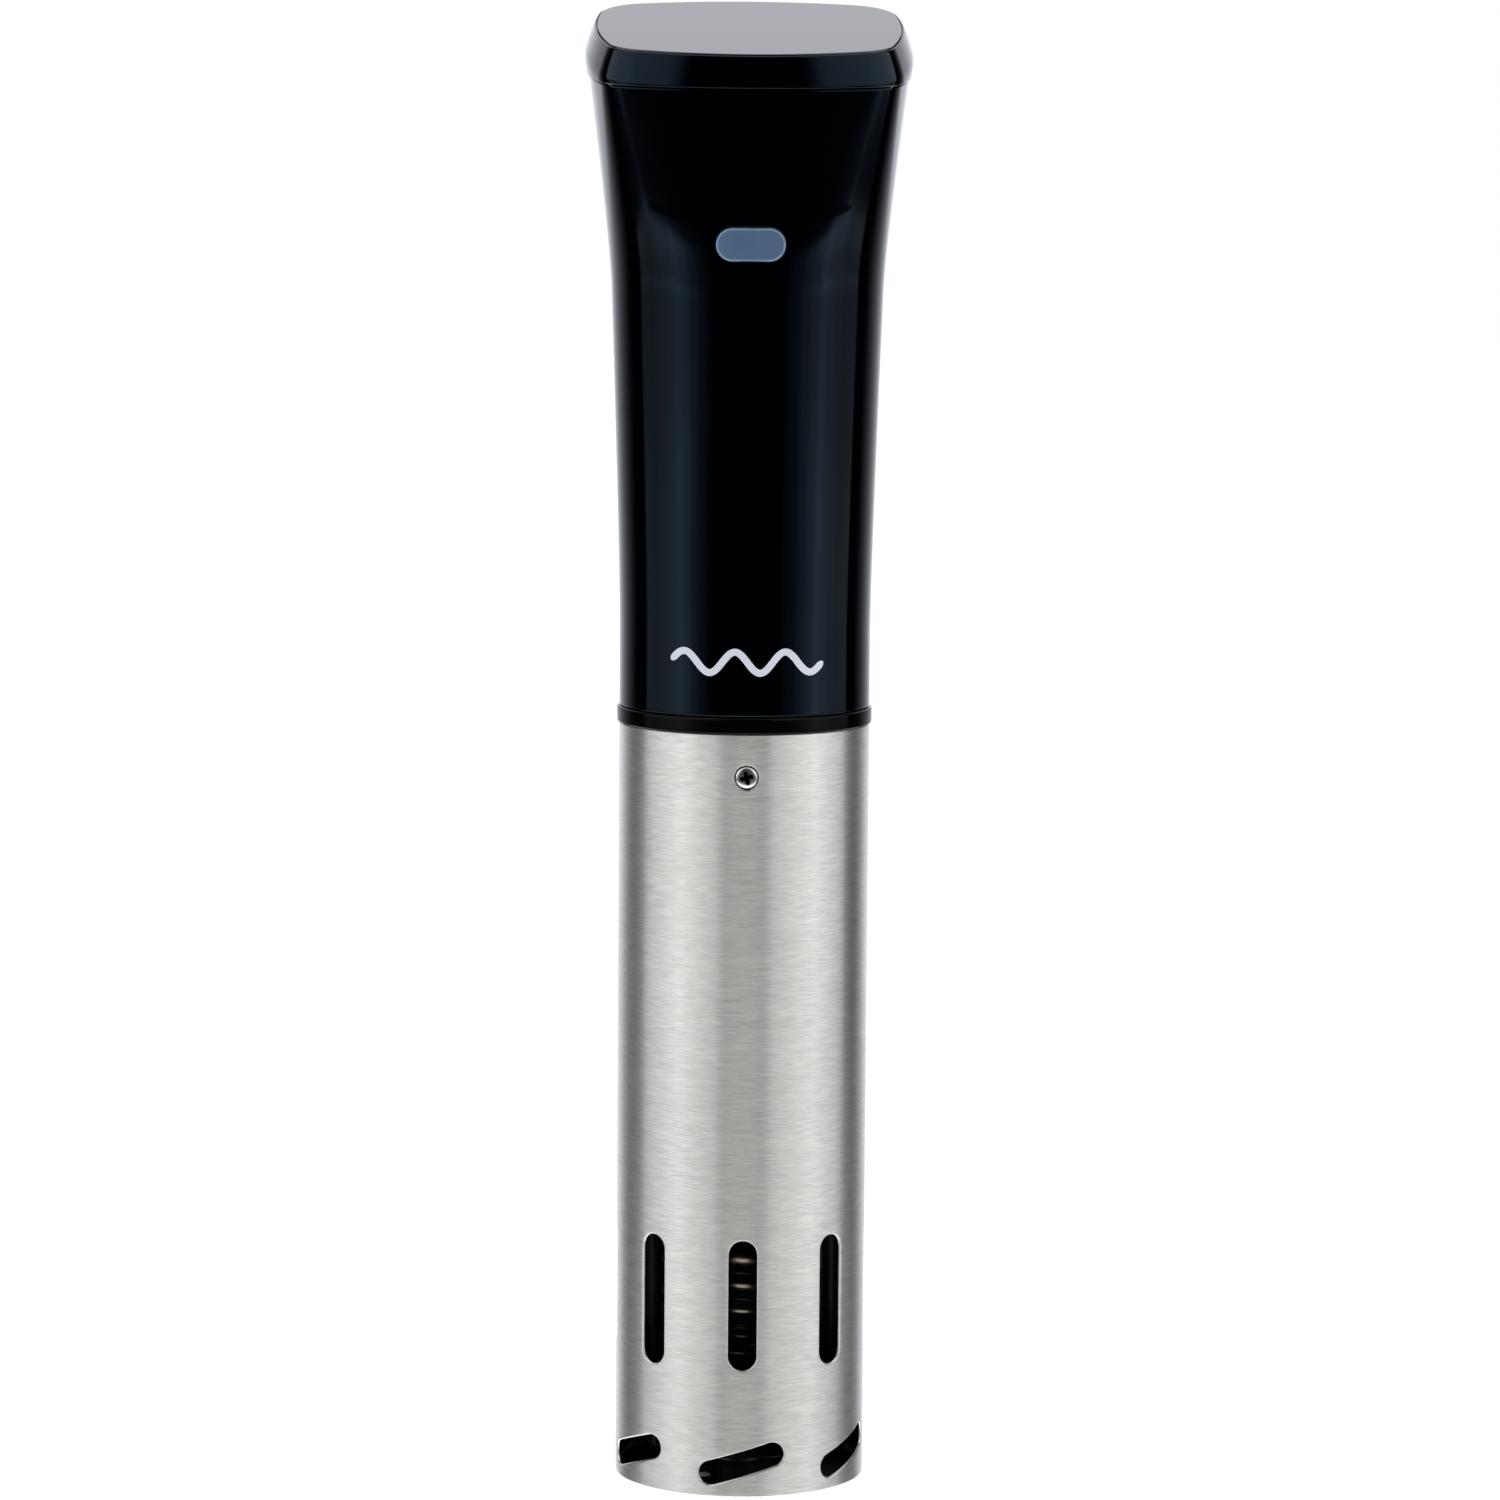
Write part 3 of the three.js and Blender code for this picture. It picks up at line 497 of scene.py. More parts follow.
def finish(name, color, roughness, metallic=0, grain=900, uneven=0.25, tint=0.12, bump=10,
           wear=None, specular=0.5, coarse=60):
    """A finish with fine grain, slow changes of colour and roughness, and rubbed edges of the wear colour."""
    made, net, shader = new_material(name)
    slow = net.noise((coarse,) * 3, 3, 0.5)
    tinted = net.mixed(net.spanned(slow, 0, 1), scaled(color, 1 - tint), scaled(color, 1 + tint))
    if wear:
        tinted = net.mixed(worn(net), tinted, wear)
    net.feed(shader, {
        "Base Color": tinted,
        "Metallic": metallic,
        "Specular IOR Level": specular,
        "Roughness": net.spanned(slow, roughness * (1 - uneven), min(1, roughness * (1 + uneven))),
        "Normal": net.bumped(net.noise((grain,) * 3, 5, 0.6), bump),
    })
    return made


def brushed_round(name, color, roughness, around, up, depth):
    """Steel brushed round the Z axis, with its highlight drawn out along the axis."""
    made, net, shader = new_material(name)
    tangent = net.nodes.new("ShaderNodeTangent")
    tangent.direction_type = "RADIAL"
    tangent.axis = "Z"
    fine = net.noise((around, around, up), 6, 0.65)
    broad = net.noise((around * 0.35, around * 0.35, up * 0.12), 4, 0.6)
    slow = net.noise((28, 28, 12), 2, 0.5)
    streaks = net.math("ADD", net.product(fine, 0.8), net.product(broad, 0.2))
    share = net.spanned(streaks, 0, 1, 0.36, 0.64)
    net.feed(shader, {
        "Base Color": net.mixed(share, scaled(color, 0.78), scaled(color, 1.1)),
        "Metallic": 1,
        "Anisotropic": 1,
        "Anisotropic Rotation": 0.25,
        "Tangent": tangent.outputs["Tangent"],
        "Roughness": net.spanned(slow, roughness * 0.88, roughness * 1.14),
        "Normal": net.bumped(streaks, depth),
    })
    return made


def glassy(name, color, roughness, specular, tint=(1, 1, 1)):
    """A smooth dielectric with faint dust and hairline scratches in its roughness."""
    made, net, shader = new_material(name)
    slow = net.noise((35,) * 3, 3, 0.5)
    hairs = net.noise((3000, 260, 400), 3, 0.7, 0.4)
    smears = net.spanned(slow, roughness * 0.8, roughness * 1.3)
    scratches = net.spanned(hairs, 0, roughness * 0.9, 0.66, 0.78)
    net.feed(shader, {
        "Base Color": net.mixed(net.spanned(slow, 0, 1), scaled(color, 0.85), scaled(color, 1.15)),
        "Specular IOR Level": specular,
        "Specular Tint": tint,
        "Roughness": net.math("ADD", smears, scratches),
        "Normal": net.bumped(slow, 20, 0.3),
    })
    return made


def reopened(made):
    """A finish's nodes, its shader, and the output that gives its colour so far."""
    net = Net(made)
    shader = net.nodes["Principled BSDF"]
    return net, shader, shader.inputs["Base Color"].links[0].from_socket


def paint_shade_and_highlight(made, start, end, color=(0.012, 0.011, 0.01)):
    """Gives a finish another colour nearer the Z axis than a radius: by default painted shade, dark as inside
    a tube or a recess; with a light colour, a painted highlight.
    """
    net, shader, base = reopened(made)
    x, y, _ = net.coordinates("Object")
    outside = net.spanned(net.reach(x, y), 0, 1, start * MM, end * MM)
    net.feed(shader, {"Base Color": net.mixed(outside, color, base)})


def lens_rim_highlight(made, color, band):
    """Lightens a band just inside the status lens's edge, as a painted highlight."""
    net, shader, base = reopened(made)
    x, _, z = net.coordinates("Object")
    along = net.math("MAXIMUM", net.math("SUBTRACT", net.math("ABSOLUTE", x), LENS_REACH * MM), 0)
    up = net.math("SUBTRACT", z, LENS_Z * MM)
    start, end = (LENS_R - band) * MM, (LENS_R - band * 0.6) * MM
    edge = net.spanned(net.reach(along, up), 0, 1, start, end)
    net.feed(shader, {"Base Color": net.mixed(edge, base, color)})


def metal(name, color, roughness, grain, uneven, tint, bump, **look):
    return finish(name, color, roughness, 1, grain, uneven, tint, bump, **look)


BLUISH, PALE_BLUISH = (0.42, 0.68, 1), (0.9, 0.95, 1)  # tints of the gloss
RUBBED = (0.05, 0.05, 0.05)
M = {
    "black_gloss": glassy("gloss_black", (0.0002, 0.0003, 0.0008), 0.07, 0.3, BLUISH),
    "black_satin": finish("satin_black", (0.012, 0.012, 0.013), 0.42, grain=2600, bump=30, wear=RUBBED),
    "black_rubber": finish("rubber_black", (0.008,) * 3, 0.62, grain=3500, bump=20, specular=0.3),
    "panel_glass": glassy("panel_glass", (0.006, 0.006, 0.007), 0.045, 0.68, PALE_BLUISH),
    "lens_plastic": finish("lens_window", linear(85, 110, 140), 0.28, grain=2000, bump=4, tint=0.06),
    "brushed_steel": brushed_round("steel_brushed_round", linear(227, 226, 223), 0.38, 240, 3400, 6),
    "polished_steel": metal("steel_polished", linear(214, 214, 214), 0.17, 1800, 0.4, 0.05, 4),
    "spring_steel": metal("steel_spring", linear(150, 151, 154), 0.3, 2400, 0.3, 0.08, 6),
    "zinc_plate": metal("zinc_plated", linear(176, 178, 180), 0.34, 1400, 0.3, 0.1, 8),
    "board_green": finish("board_green", linear(24, 88, 50), 0.4, grain=1500, tint=0.2),
    "white_nylon": finish("nylon_white", linear(222, 218, 206), 0.5, grain=1200),
    "grey_plastic": finish("plastic_grey", linear(78, 80, 84), 0.5, grain=1800, bump=20),
    "bronze": metal("bronze_sintered", linear(172, 124, 66), 0.42, 4200, 0.3, 0.15, 20),
    "relay_blue": finish("relay_blue", linear(40, 62, 104), 0.3, grain=1200),
    "winding_yellow": finish("winding_yellow", linear(206, 176, 62), 0.45, tint=0.2),
    "cable_grey": finish("cable_grey", linear(150, 152, 155), 0.5, grain=1500),
}
# steel_heater, steel_rods and nylon_black are made darker than bare steel and the other black plastic:
# painted shade, so the inside of the tube looks dark through the slots.
heater_metal = metal("steel_heater", linear(112, 104, 92), 0.24, 1500, 0.4, 0.2, 12, coarse=150)
screw_steel = metal("steel_screw", linear(232, 232, 232), 0.3, 1800, 0.3, 0.04, 4)
# steel_foot is made darker than bare steel: painted shade on the underside, which the light from below would
# show too bright.
foot_steel = metal("steel_foot", linear(110, 109, 106), 0.38, 1500, 0.3, 0.06, 6)
rod_steel = metal("steel_rods", linear(72, 68, 60), 0.4, 1500, 0.3, 0.1, 6)
impeller_nylon = finish("nylon_black", (0.003,) * 3, 0.5, grain=2600, bump=20, specular=0.25)
collar_gloss = glassy("gloss_collar", (0.0008, 0.0008, 0.001), 0.1, 0.08)
print_ink = finish("print_pale", linear(228, 233, 246), 0.45, grain=2500, tint=0.03, bump=3)
paint_shade_and_highlight(M["brushed_steel"], 30.7, 30.96, (1, 1, 1))  # painted highlight: the slots' lips made white
paint_shade_and_highlight(M["brushed_steel"], 30.4, 30.6)  # painted shade: the tube's inside made dark
# painted shade: the tube screws' cross recesses made dark
paint_shade_and_highlight(screw_steel, 30.8, 31.3)
# painted highlight along the lens's rim
lens_rim_highlight(M["lens_plastic"], linear(128, 152, 180), 0.6)

SLOT_OF = {row["node"]: row["material_slot"] for row in frame["record"]["subparts"]}
for node, obj in frame["nodes"].items():
    obj.data.materials.clear()
    obj.data.materials.append(rod_steel if node.startswith("support_rod") else M[SLOT_OF[node]])


def shown(obj, node, smooth=38, material=None, twist=None):
    """Finishes a piece that stands for one CAD node."""
    body = next(b for b, nodes in frame["record"]["behaviour"]["bodies"].items() if node in nodes)
    slot = SLOT_OF[node]
    return piece(obj, body, material or M[slot], slot, [node], smooth, twist)


# ---------- Steel tube ----------


def round_band(skin, place, vs, angles, half, hole):
    """A band round the tube with a pierced cell, 2 * half steps wide, at each angle in degrees."""
    step = TURN / STEPS
    centres = [round(math.radians(angle) / step) for angle in angles]
    for centre, after in zip(centres, [*centres[1:], centres[0] + STEPS]):
        us = [TUBE_R * step * i for i in range(centre - half, centre + half + 1)]
        pierced(skin, place, cell_edge(us, vs), hole(TUBE_R * step * centre), TUBE_WALL, lip=0.4)
        rest = [TUBE_R * step * i for i in range(centre + half, after - half + 1)]
        if len(rest) > 1:
            plain(skin, place, rest, vs, TUBE_WALL)


def steel_tube():
    skin = Skin()

    def place(s, z, depth):
        return polar(s / TUBE_R, TUBE_R - depth, z)

    def stadium(sizes, slope):
        reach, radius = (sizes["length"] - sizes["width"]) / 2, sizes["width"] / 2
        return lambda s: middle_line((s, sizes["height"]), reach, slope, radius)

    def screw_hole(s):
        return middle_line((s, SCREWS["height"]), 0, 0, SCREWS["radius"] + 0.16)

    around = [TUBE_R * i * TURN / STEPS for i in range(STEPS + 1)]
    outlets, inlets = stadium(OUTLETS, OUTLETS["slope"]), stadium(INLETS, math.pi / 2)
    round_band(skin, place, spread(0.35, 17.2, 14), OUTLETS["angles"], 20, outlets)
    plain(skin, place, around, spread(17.2, 29, 6), TUBE_WALL)
    round_band(skin, place, spread(29, 67, 40), INLETS["angles"], 10, inlets)
    plain(skin, place, around, spread(67, 172, 40), TUBE_WALL)
    round_band(skin, place, spread(172, 185.2, 14), SCREWS["angles"], 8, screw_hole)
    plain(skin, place, around, spread(185.2, TUBE_TOP, 2), TUBE_WALL)
    foot = [(0, 0.35), (0.03, 0.2), (0.1, 0.09), (0.24, 0), (0.56, 0), (0.7, 0.09), (0.77, 0.2)]
    foot += [(TUBE_WALL, 0.35)]  # the rounded bottom edge, as (depth, height)
    skin.rings([[place(s, z, d) for s in around] for d, z in foot], closed=False)
    skin.rings([[place(s, TUBE_TOP, d) for s in around] for d in (0, TUBE_WALL)], closed=False)
    return skin


shown(steel_tube().obj("tube_shell"), "steel_tube", smooth=60)


def collar():
    r, top, bottom, bore = COLLAR_R, COLLAR_TOP, TUBE_TOP + 0.15, 28.8
    edge = [(bore, bottom), (r - 0.9, bottom)]
    edge += bend((r - 0.8, bottom), (r, bottom), (r, bottom + 0.8))
    edge += bend((r, top - 0.8), (r, top), (r - 0.8, top))
    edge += [(r - 0.9, top), (bore, top), (bore, bottom)]
    return lathe(edge, STEPS)


shown(collar().obj("collar"), "collar_ring", material=collar_gloss)

# ---------- Housing ----------


def housing_shell():
    skin = Skin()
    step = TURN / STEPS
    lip = 0.3  # height of the rounded edges at the bottom and the seam
    ease = 325  # above this height the rows lean towards the sloping seam
    seams = [on_plane(SEAM, i * step).z for i in range(STEPS)]

    def node(i, v, depth):
        i %= STEPS
        z = v if v <= ease else ease + (v - ease) / (SEAM[0] - ease) * (seams[i] - lip - ease)
        return outline(i * step, z, -depth)

    def rounded_edge(heights, inward, section):
        """The wall's edge over a height for each step, from (depth, rise) points. inward is 1 or -1."""
        levels = [(i * step, height + inward * lip) for i, height in enumerate(heights)]
        rings = [[outline(angle, z, -depth) for angle, z in levels] for depth, _ in section]
        for ring, (_, rise) in zip(rings, section):
            for p, height in zip(ring, heights):
                p.z = height + rise
        skin.rings(rings)

    half, low, high = 26, 299, 316.4  # the cell round the lens: steps to each side, and its heights
    vs = spread(low, high, 18)
    everywhere = list(range(STEPS + 1))
    near_foot = [HOUSING_BOTTOM + lip, HOUSING_BOTTOM + 0.45]
    plain(skin, node, everywhere, [*near_foot, *spread(HOUSING_BOTTOM + 0.7, low, 46)], HOUSING_WALL)
    plain(skin, node, list(range(half, STEPS - half + 1)), vs, HOUSING_WALL)
    near_seam = [SEAM[0] - 0.15, SEAM[0]]
    plain(skin, node, everywhere, [*spread(high, SEAM[0] - 0.4, 22), *near_seam], HOUSING_WALL)
    border = cell_edge(list(range(-half, half + 1)), vs)
    edge = [(outline(i * step, v).x, v) for i, v in border]
    hole = middle_line((0, LENS_Z), LENS_REACH, 0, LENS_R + 0.1)
    pierced(skin, front_point, edge, hole, HOUSING_WALL, rows=8)
    skirt = [front_point(u, v, HOUSING_WALL) for u, v in edge]
    skin.strip(skirt, [outline(i * step, v, -HOUSING_WALL) for i, v in border])
    bottom = [(0, lip), (0.08, 0.08), (0.3, 0), (HOUSING_WALL, 0), (HOUSING_WALL, lip)]
    rounded_edge([HOUSING_BOTTOM] * STEPS, 1, bottom)
    top = [(0, -lip), (0.06, -0.1), (0.3, 0), (HOUSING_WALL, 0), (HOUSING_WALL, -lip)]
    rounded_edge(seams, -1, top)
    return skin


shown(housing_shell().obj("housing_shell"), "upper_housing", smooth=50)


def lens():
    """The round-ended lens in the front, with its face a little under the surface round it."""
    skin = Skin()
    depth, thick, directions, lip = 0.02, 1.9, 96, 0.2
    normals = [(math.cos(k * TURN / directions), math.sin(k * TURN / directions)) for k in range(directions)]
    feet = [math.copysign(LENS_REACH, nx) if abs(nx) > 1e-9 else LENS_REACH for nx, _ in normals]

    def ring(share, extra, down):
        r = LENS_R * share + extra
        return [front_point(foot + nx * r, LENS_Z + nz * r, down) for foot, (nx, nz) in zip(feet, normals)]

    turns = spread(0, math.pi / 2, 5)
    face = [ring(share, -lip * share, depth) for share in (0, 0.3, 0.6, 0.85)]
    edge = [ring(1, -lip * (1 - math.sin(a)), depth + lip * (1 - math.cos(a))) for a in turns]
    back = [ring(share, 0, depth + thick) for share in (1, 0.5, 0)]
    skin.rings(face + edge + back)
    return skin


shown(lens().obj("status_window"), "status_lens")


def wave_print():
    """A generic wave line printed on the front, low on the housing."""
    skin = Skin()
    width, swing, half, middle, waves = 38.5, 2.55, 0.85, 206.7, 3
    count = 220
    rows = []
    for k in range(count + 1):
        t = k / count
        x = (t - 0.5) * (width - 2 * half)
        phase = t * waves * TURN
        slope = swing * waves * TURN * math.cos(phase) / (width - 2 * half)
        n = Vector((-slope, 1)).normalized()
        taper = math.sqrt(max(0, 1 - max(0, 1 - min(t, 1 - t) * count / 6) ** 2))
        centre = Vector((x, middle + swing * math.sin(phase)))
        rows.append([centre + n * half * taper * s for s in (-1, -0.5, 0, 0.5, 1)])
    top = [[front_point(p.x, p.y, -0.03) for p in row] for row in rows]
    under = [[front_point(p.x, p.y, 0.02) for p in row] for row in rows]
    skin.rings(top, closed=False)
    skin.rings(under, closed=False)
    for side in (0, -1):
        skin.strip([row[side] for row in top], [row[side] for row in under], closed=False)
    return skin


piece(wave_print().obj("printed_wave"), "housing", print_ink, "white_nylon", smooth=60)

# ---------- Bezel and touch panel ----------


def on_panel(angle, inset, drop):
    """A point inside the bezel's rim, at a depth under the panel's plane."""
    p = on_plane(CREASE, angle, PROUD) + Vector((-math.sin(angle), math.cos(angle), 0)) * (CHAMFER + inset)
    p.z = PANEL[0] + PANEL[1] * p.y - drop
    return p


def bezel_profile(angle):
    """The bezel's section at an angle, from its lip in the housing round the outside to the panel's seat."""
    gap = 0.42  # the fine seam over the housing
    crease = on_plane(CREASE, angle, PROUD)

    def crest(inset, drop):
        return on_panel(angle, inset, drop)

    lip = [on_plane(SEAM, angle, -HOUSING_WALL - 0.25, lift) for lift in (-4.5, gap)]
    under = on_plane(SEAM, angle, PROUD - 0.3, gap)
    corner = on_plane(SEAM, angle, PROUD, gap)
    above = on_plane(SEAM, angle, PROUD, gap + 0.2)
    wall = crease - above
    below = crease - wall.normalized() * min(1.6, wall.length * 0.9)
    edge = crest(0, RIM_DROP)
    slope = (edge - crease).normalized()
    start, end = crease + slope * min(1.8, wall.length), edge - slope * 0.7
    across = end - start
    bulge = Vector((math.sin(angle), -math.cos(angle), 0.4)).normalized() * 0.08
    chamfer = [start + across * t + bulge * math.sin(math.pi * t) for t in (0.2, 0.4, 0.6, 0.8)]
    inner, fall = crest(RIM + 0.05, RIM_DROP), crest(RIM + 0.05, RIM_DROP + 0.3)
    return [
        *lip,
        *bend(under, corner, above, 4),
        above + (below - above) * 0.5,
        *bend(below, crease, start, 9),
        *chamfer,
        *bend(end, edge, crest(0.3, RIM_DROP), 7),
        *bend(crest(0.33, RIM_DROP), inner, fall, 3),
        crest(RIM + 0.05, LEDGE),
        crest(3.6, LEDGE),
        on_plane(SEAM, angle, -4.6, -4.5),
        lip[0],
    ]


bezel = Skin()
sections = [bezel_profile(i * TURN / STEPS) for i in range(STEPS)]
bezel.rings([[section[k] for section in sections] for k in range(len(sections[0]))])
shown(bezel.obj("bezel_ring"), "top_bezel", smooth=55)

panel = Skin()
edges = [(4, 0), (1.1, 0), (0.92, 0.01), (0.8, 0.05), (0.74, 0.11), (0.72, 0.2), (0.72, 1.9)]
panel.solid([[on_panel(i * TURN / STEPS, inset, drop) for i in range(STEPS)] for inset, drop in edges])
shown(panel.obj("panel_plate"), "touch_panel")

# ---------- Screws and turned parts ----------


def stood(at, angle, axis="X"):
    """The matrix that tips something made round the Z axis and moves it to a place in millimetres."""
    return Matrix.Translation(Vector(at) * MM) @ Matrix.Rotation(angle, 4, axis)


def turned(name, profile, steps, matrix):
    """A lathe body moved by a matrix."""
    obj = lathe(profile, steps).obj(name)
    obj.data.transform(matrix)
    return obj


def cross_cutter(size, depth, at):
    """The tapered cross that a driver fits, pointing down from a height."""
    rings = []
    for length, width, z in ((1, 0.32, at + 0.4), (0.95, 0.3, at), (0.5, 0.2, at - depth)):
        x, y = length * size, width * size
        rings.append([(a, b, z) for a, b in rounded([(-x, -y), (x, -y), (x, y), (-x, y)], [y * 0.7] * 4, 3)])
    along, across = Skin(), Skin()
    along.solid(rings)
    across.solid([[(-b, a, z) for a, b, z in ring] for ring in rings])
    return [along.obj("cutter"), across.obj("cutter")]


def screw(name, profile, size, depth, at, matrix):
    """A turned screw with a cross of a half length and depth cut into its head from a height."""
    obj = combine(lathe(profile, 64).obj(name), cross_cutter(size, depth, at), "DIFFERENCE")
    obj.data.transform(matrix)
    return obj


def sunk_profile(r, length, shank):
    crown = [(r, -0.1), (r - 0.05, 0.02), (r - 0.38, 0.34), (r - 0.5, 0.4), (r * 0.5, 0.47), (0, 0.48)]
    return [(0, -length), (shank, -length), (shank, -1.6), (r - 0.12, -0.4), (r, -0.25), *crown]


def pan_profile(r, length, shank, high):
    dome = [(r * math.cos(a) ** 0.6, high * math.sin(a)) for a in (0.1, 0.3, 0.55, 0.8, 1.1, 1.35)]
    return [(0, -length), (shank, -length), (shank, 0), (r - 0.1, 0), (r, 0.1), *dome, (0, high)]


for k, angle in enumerate(SCREWS["angles"]):
    round_tube = Matrix.Rotation(math.radians(angle), 4, "Z")
    driven = Matrix.Rotation(math.radians(14 + 40 * k), 4, "Z")  # no two stopped at the same angle
    place = round_tube @ stood((0, -TUBE_R + 0.12, SCREWS["height"]), math.pi / 2) @ driven
    made = screw(f"tube_screw_fine_{k + 1}", sunk_profile(SCREWS["radius"], 5, 1.45), 1.8, 1.5, 0.48, place)
    shown(made, f"tube_screw_{k + 1}", smooth=24, material=screw_steel)

for k, z in enumerate(CLIP_SCREWS):
    place = stood((0, 36.35, z), -math.pi / 2)
    made = screw(f"clip_screw_fine_{k + 1}", pan_profile(2.8, 7.6, 1.5, 1.5), 1.6, 1.2, 1.5, place)
    shown(made, f"clip_screw_{k + 1}", smooth=30, material=screw_steel)

# ---------- Heater, pump and foot, seen through the slots ----------


def through(knots, steps=6):
    """Points along a smooth curve through the knots."""
    path = []
    for a, b, c, d in zip([knots[0], *knots], knots, knots[1:], [*knots[2:], knots[-1]]):
        for t in (k / steps for k in range(steps)):
            bent = (2 * a - 5 * b + 4 * c - d) * t**2 + (3 * b - a - 3 * c + d) * t**3
            path.append(0.5 * (2 * b + (c - a) * t + bent))
    return [*path, knots[-1]]


def coil_path():
    """Down to the top of the helix, round it to the bottom, and back up inside it."""
    radius, pitch, turns, bottom, top, inner = 17, 6.5, 5, 28.5, 172, 9.5
    start, back = math.pi, math.pi + math.radians(50)
    high = bottom + pitch * turns
    knots = [polar(start, radius, z) for z in (top, 140, 110, 85, high + 12)]
    helix = 16 * turns
    for i in range(1, helix + 1):
        share = i / helix
        knots.append(polar(start + share * turns * TURN, radius, high - share * pitch * turns))
    knots.append(polar(back - math.radians(24), radius - 3.5, bottom - 1.5))
    knots += [polar(back, inner, z) for z in (bottom + 5, bottom + 16, 85, 120, top)]
    return through([Vector(p) for p in knots])


coil = sweep(coil_path(), 2.75, 24)
shown(coil.obj("coil_fine"), "heater_coil", material=heater_metal, smooth=60)


def impeller_mesh():
    bore = 2.25
    base = [(bore, 7.6), (5.2, 7.6), (5.5, 7.9), (5.5, 8), (23.7, 8), (24, 8.3), (24, 8.9), (23.7, 9.2)]
    base += [(7.2, 9.2), (6, 10), (5.5, 11.2), (5.5, 13.6), (5.1, 14), (bore, 14), (bore, 7.6)]
    skin = lathe(base, 120)
    blades, steps = 6, 24
    arc_r, arc_at = 21.25, (2, 22)  # each blade's middle line is an arc round this place
    foot, shoulder, top = 9, 13.4, 13.8
    for k in range(blades):
        c, s = math.cos(k * TURN / blades), math.sin(k * TURN / blades)
        rows = []
        for j in range(steps + 1):
            a = math.radians(-80 + 56 * j / steps)
            half = 0.75 * (1 - 0.35 * j / steps)
            flat = []
            for r in (arc_r + half, arc_r - half):
                x, y = arc_at[0] + r * math.cos(a), arc_at[1] + r * math.sin(a)
                flat.append((x * c - y * s, x * s + y * c))
            (ox, oy), (ix, iy) = flat
            crown = [((ox * n + ix * (4 - n)) / 4, (oy * n + iy * (4 - n)) / 4, top) for n in (3, 1)]
            rows.append([(ox, oy, foot), (ox, oy, shoulder), *crown, (ix, iy, shoulder), (ix, iy, foot)])
        skin.solid(rows)
    return skin


shown(impeller_mesh().obj("impeller_fine"), "impeller", material=impeller_nylon)


def foot_mesh():
    rim = TUBE_R - TUBE_WALL - 0.25
    profile = [(0, 0), (rim - 0.3, 0), (rim, 0.3), (rim, 1.9), (rim - 0.3, 2.2), (7.5, 2.2), (6.2, 3)]
    profile += [(6, 6.7), (5.7, 7), (3.4, 7), (3.2, 6.8), (3.2, 2.6), (0, 2.6)]
    drain = [(0, -1), (3.4, -1), (2.4, 0.5), (2.4, 4), (0, 4)]
    spots = [polar(k * TURN / 6 + math.radians(30), 19, 0) for k in range(6)]
    holes = [turned("cutter", drain, 40, stood(spot, 0)) for spot in spots]
    return combine(lathe(profile, 144).obj("foot_fine"), holes, "DIFFERENCE")


shown(foot_mesh(), "foot_plate", smooth=30, material=foot_steel)

# ---------- Cord gland ----------


def gland_mesh():
    """The gland, drawn as (radius, distance behind the axis) and tipped over to point backwards."""
    skin_y = outline(math.pi, GLAND_Z).y
    bore, start = 3.6, skin_y - 3
    profile = [(bore, start), (6, start), (6, skin_y - 0.6), (9, skin_y - 0.9), (9, skin_y + 1.9)]
    profile += bend((9, skin_y + 1.9), (9, skin_y + 3.2), (7.6, skin_y + 3.3), 5)[1:]
    profile += bend((6.7, skin_y + 3.4), (6.1, skin_y + 3.5), (6, skin_y + 4.3), 4)
    for k in range(3):
        y, less = skin_y + 5 + 1.7 * k, 0.12 * k
        ridge = ((5.85, 0), (5.35, 0.25), (5.35, 0.75), (5.8, 1))
        profile += [(r - less, y + along) for r, along in ridge]
    profile += [(5.35, 44.2), (5.1, 44.8), (4.7, 45), (4.1, 44.9), (bore, 44.3), (bore, start)]
    return turned("gland_fine", profile, 96, stood((0, 0, GLAND_Z), -math.pi / 2))


shown(gland_mesh(), "cord_gland", smooth=45)

# ---------- Clip ----------

PIVOT = stood((0, PIVOT_Y, PIVOT_Z), math.pi / 2, "Y")


def by_pivot(points):
    """Places of (y, z) points that are given from the clip's pin."""
    return [(PIVOT_Y + y, PIVOT_Z + z) for y, z in points]


def pin_bore():
    r = PIN_R + 0.12
    return turned("cutter", [(0, -20), (r, -20), (r, 20), (0, 20)], 40, PIVOT)


def housing_cutter(extra, low, high):
    """The housing and tube as a solid, grown a little, to shape what fits against them."""
    skin = Skin()
    heights = [low, 193, 210, 225, 240, 255, 270, high]
    levels = [(z, extra if z > 205 else extra + 0.6) for z in heights]
    skin.solid([[outline(i * TURN / 120, z, more) for i in range(120)] for z, more in levels])
    return skin.obj("cutter")


def bracket_mesh():
    root, jaw, back = 26, 34.5, 38
    profile = [(root, 214), (root, 170), (jaw - 1, 168), (jaw, 169.5), (jaw, 204), (back, 210), (back, 266)]
    profile += [(35, 270), (root, 270)]
    obj = bevel(slab("bracket_fine", rounded(profile, [0, 0, 1, 1, 6, 6, 3, 3, 0], 6), 26), 0.7)
    ear = by_pivot([(33 - PIVOT_Y, -15), (0, -6.4), (6.4, -5), (6.4, 5), (0, 6.4), (33 - PIVOT_Y, 15)])
    ear = rounded(ear, [0, 5, 5, 5, 5, 0], 8)
    combine(obj, [bevel(slab("ear", ear, 3, side * 11), 0.5) for side in (-1, 1)], "UNION")
    well = [(0, 0), (3.2, 0), (3.2, 1.4), (3.6, 1.8), (3.6, 8), (0, 8)]
    wells = [turned("cutter", well, 48, stood((0, 36.2, z), -math.pi / 2)) for z in CLIP_SCREWS]
    return combine(obj, [pin_bore(), *wells, housing_cutter(0.25, 160, 275)], "DIFFERENCE")


shown(bracket_mesh(), "clip_bracket", smooth=32)


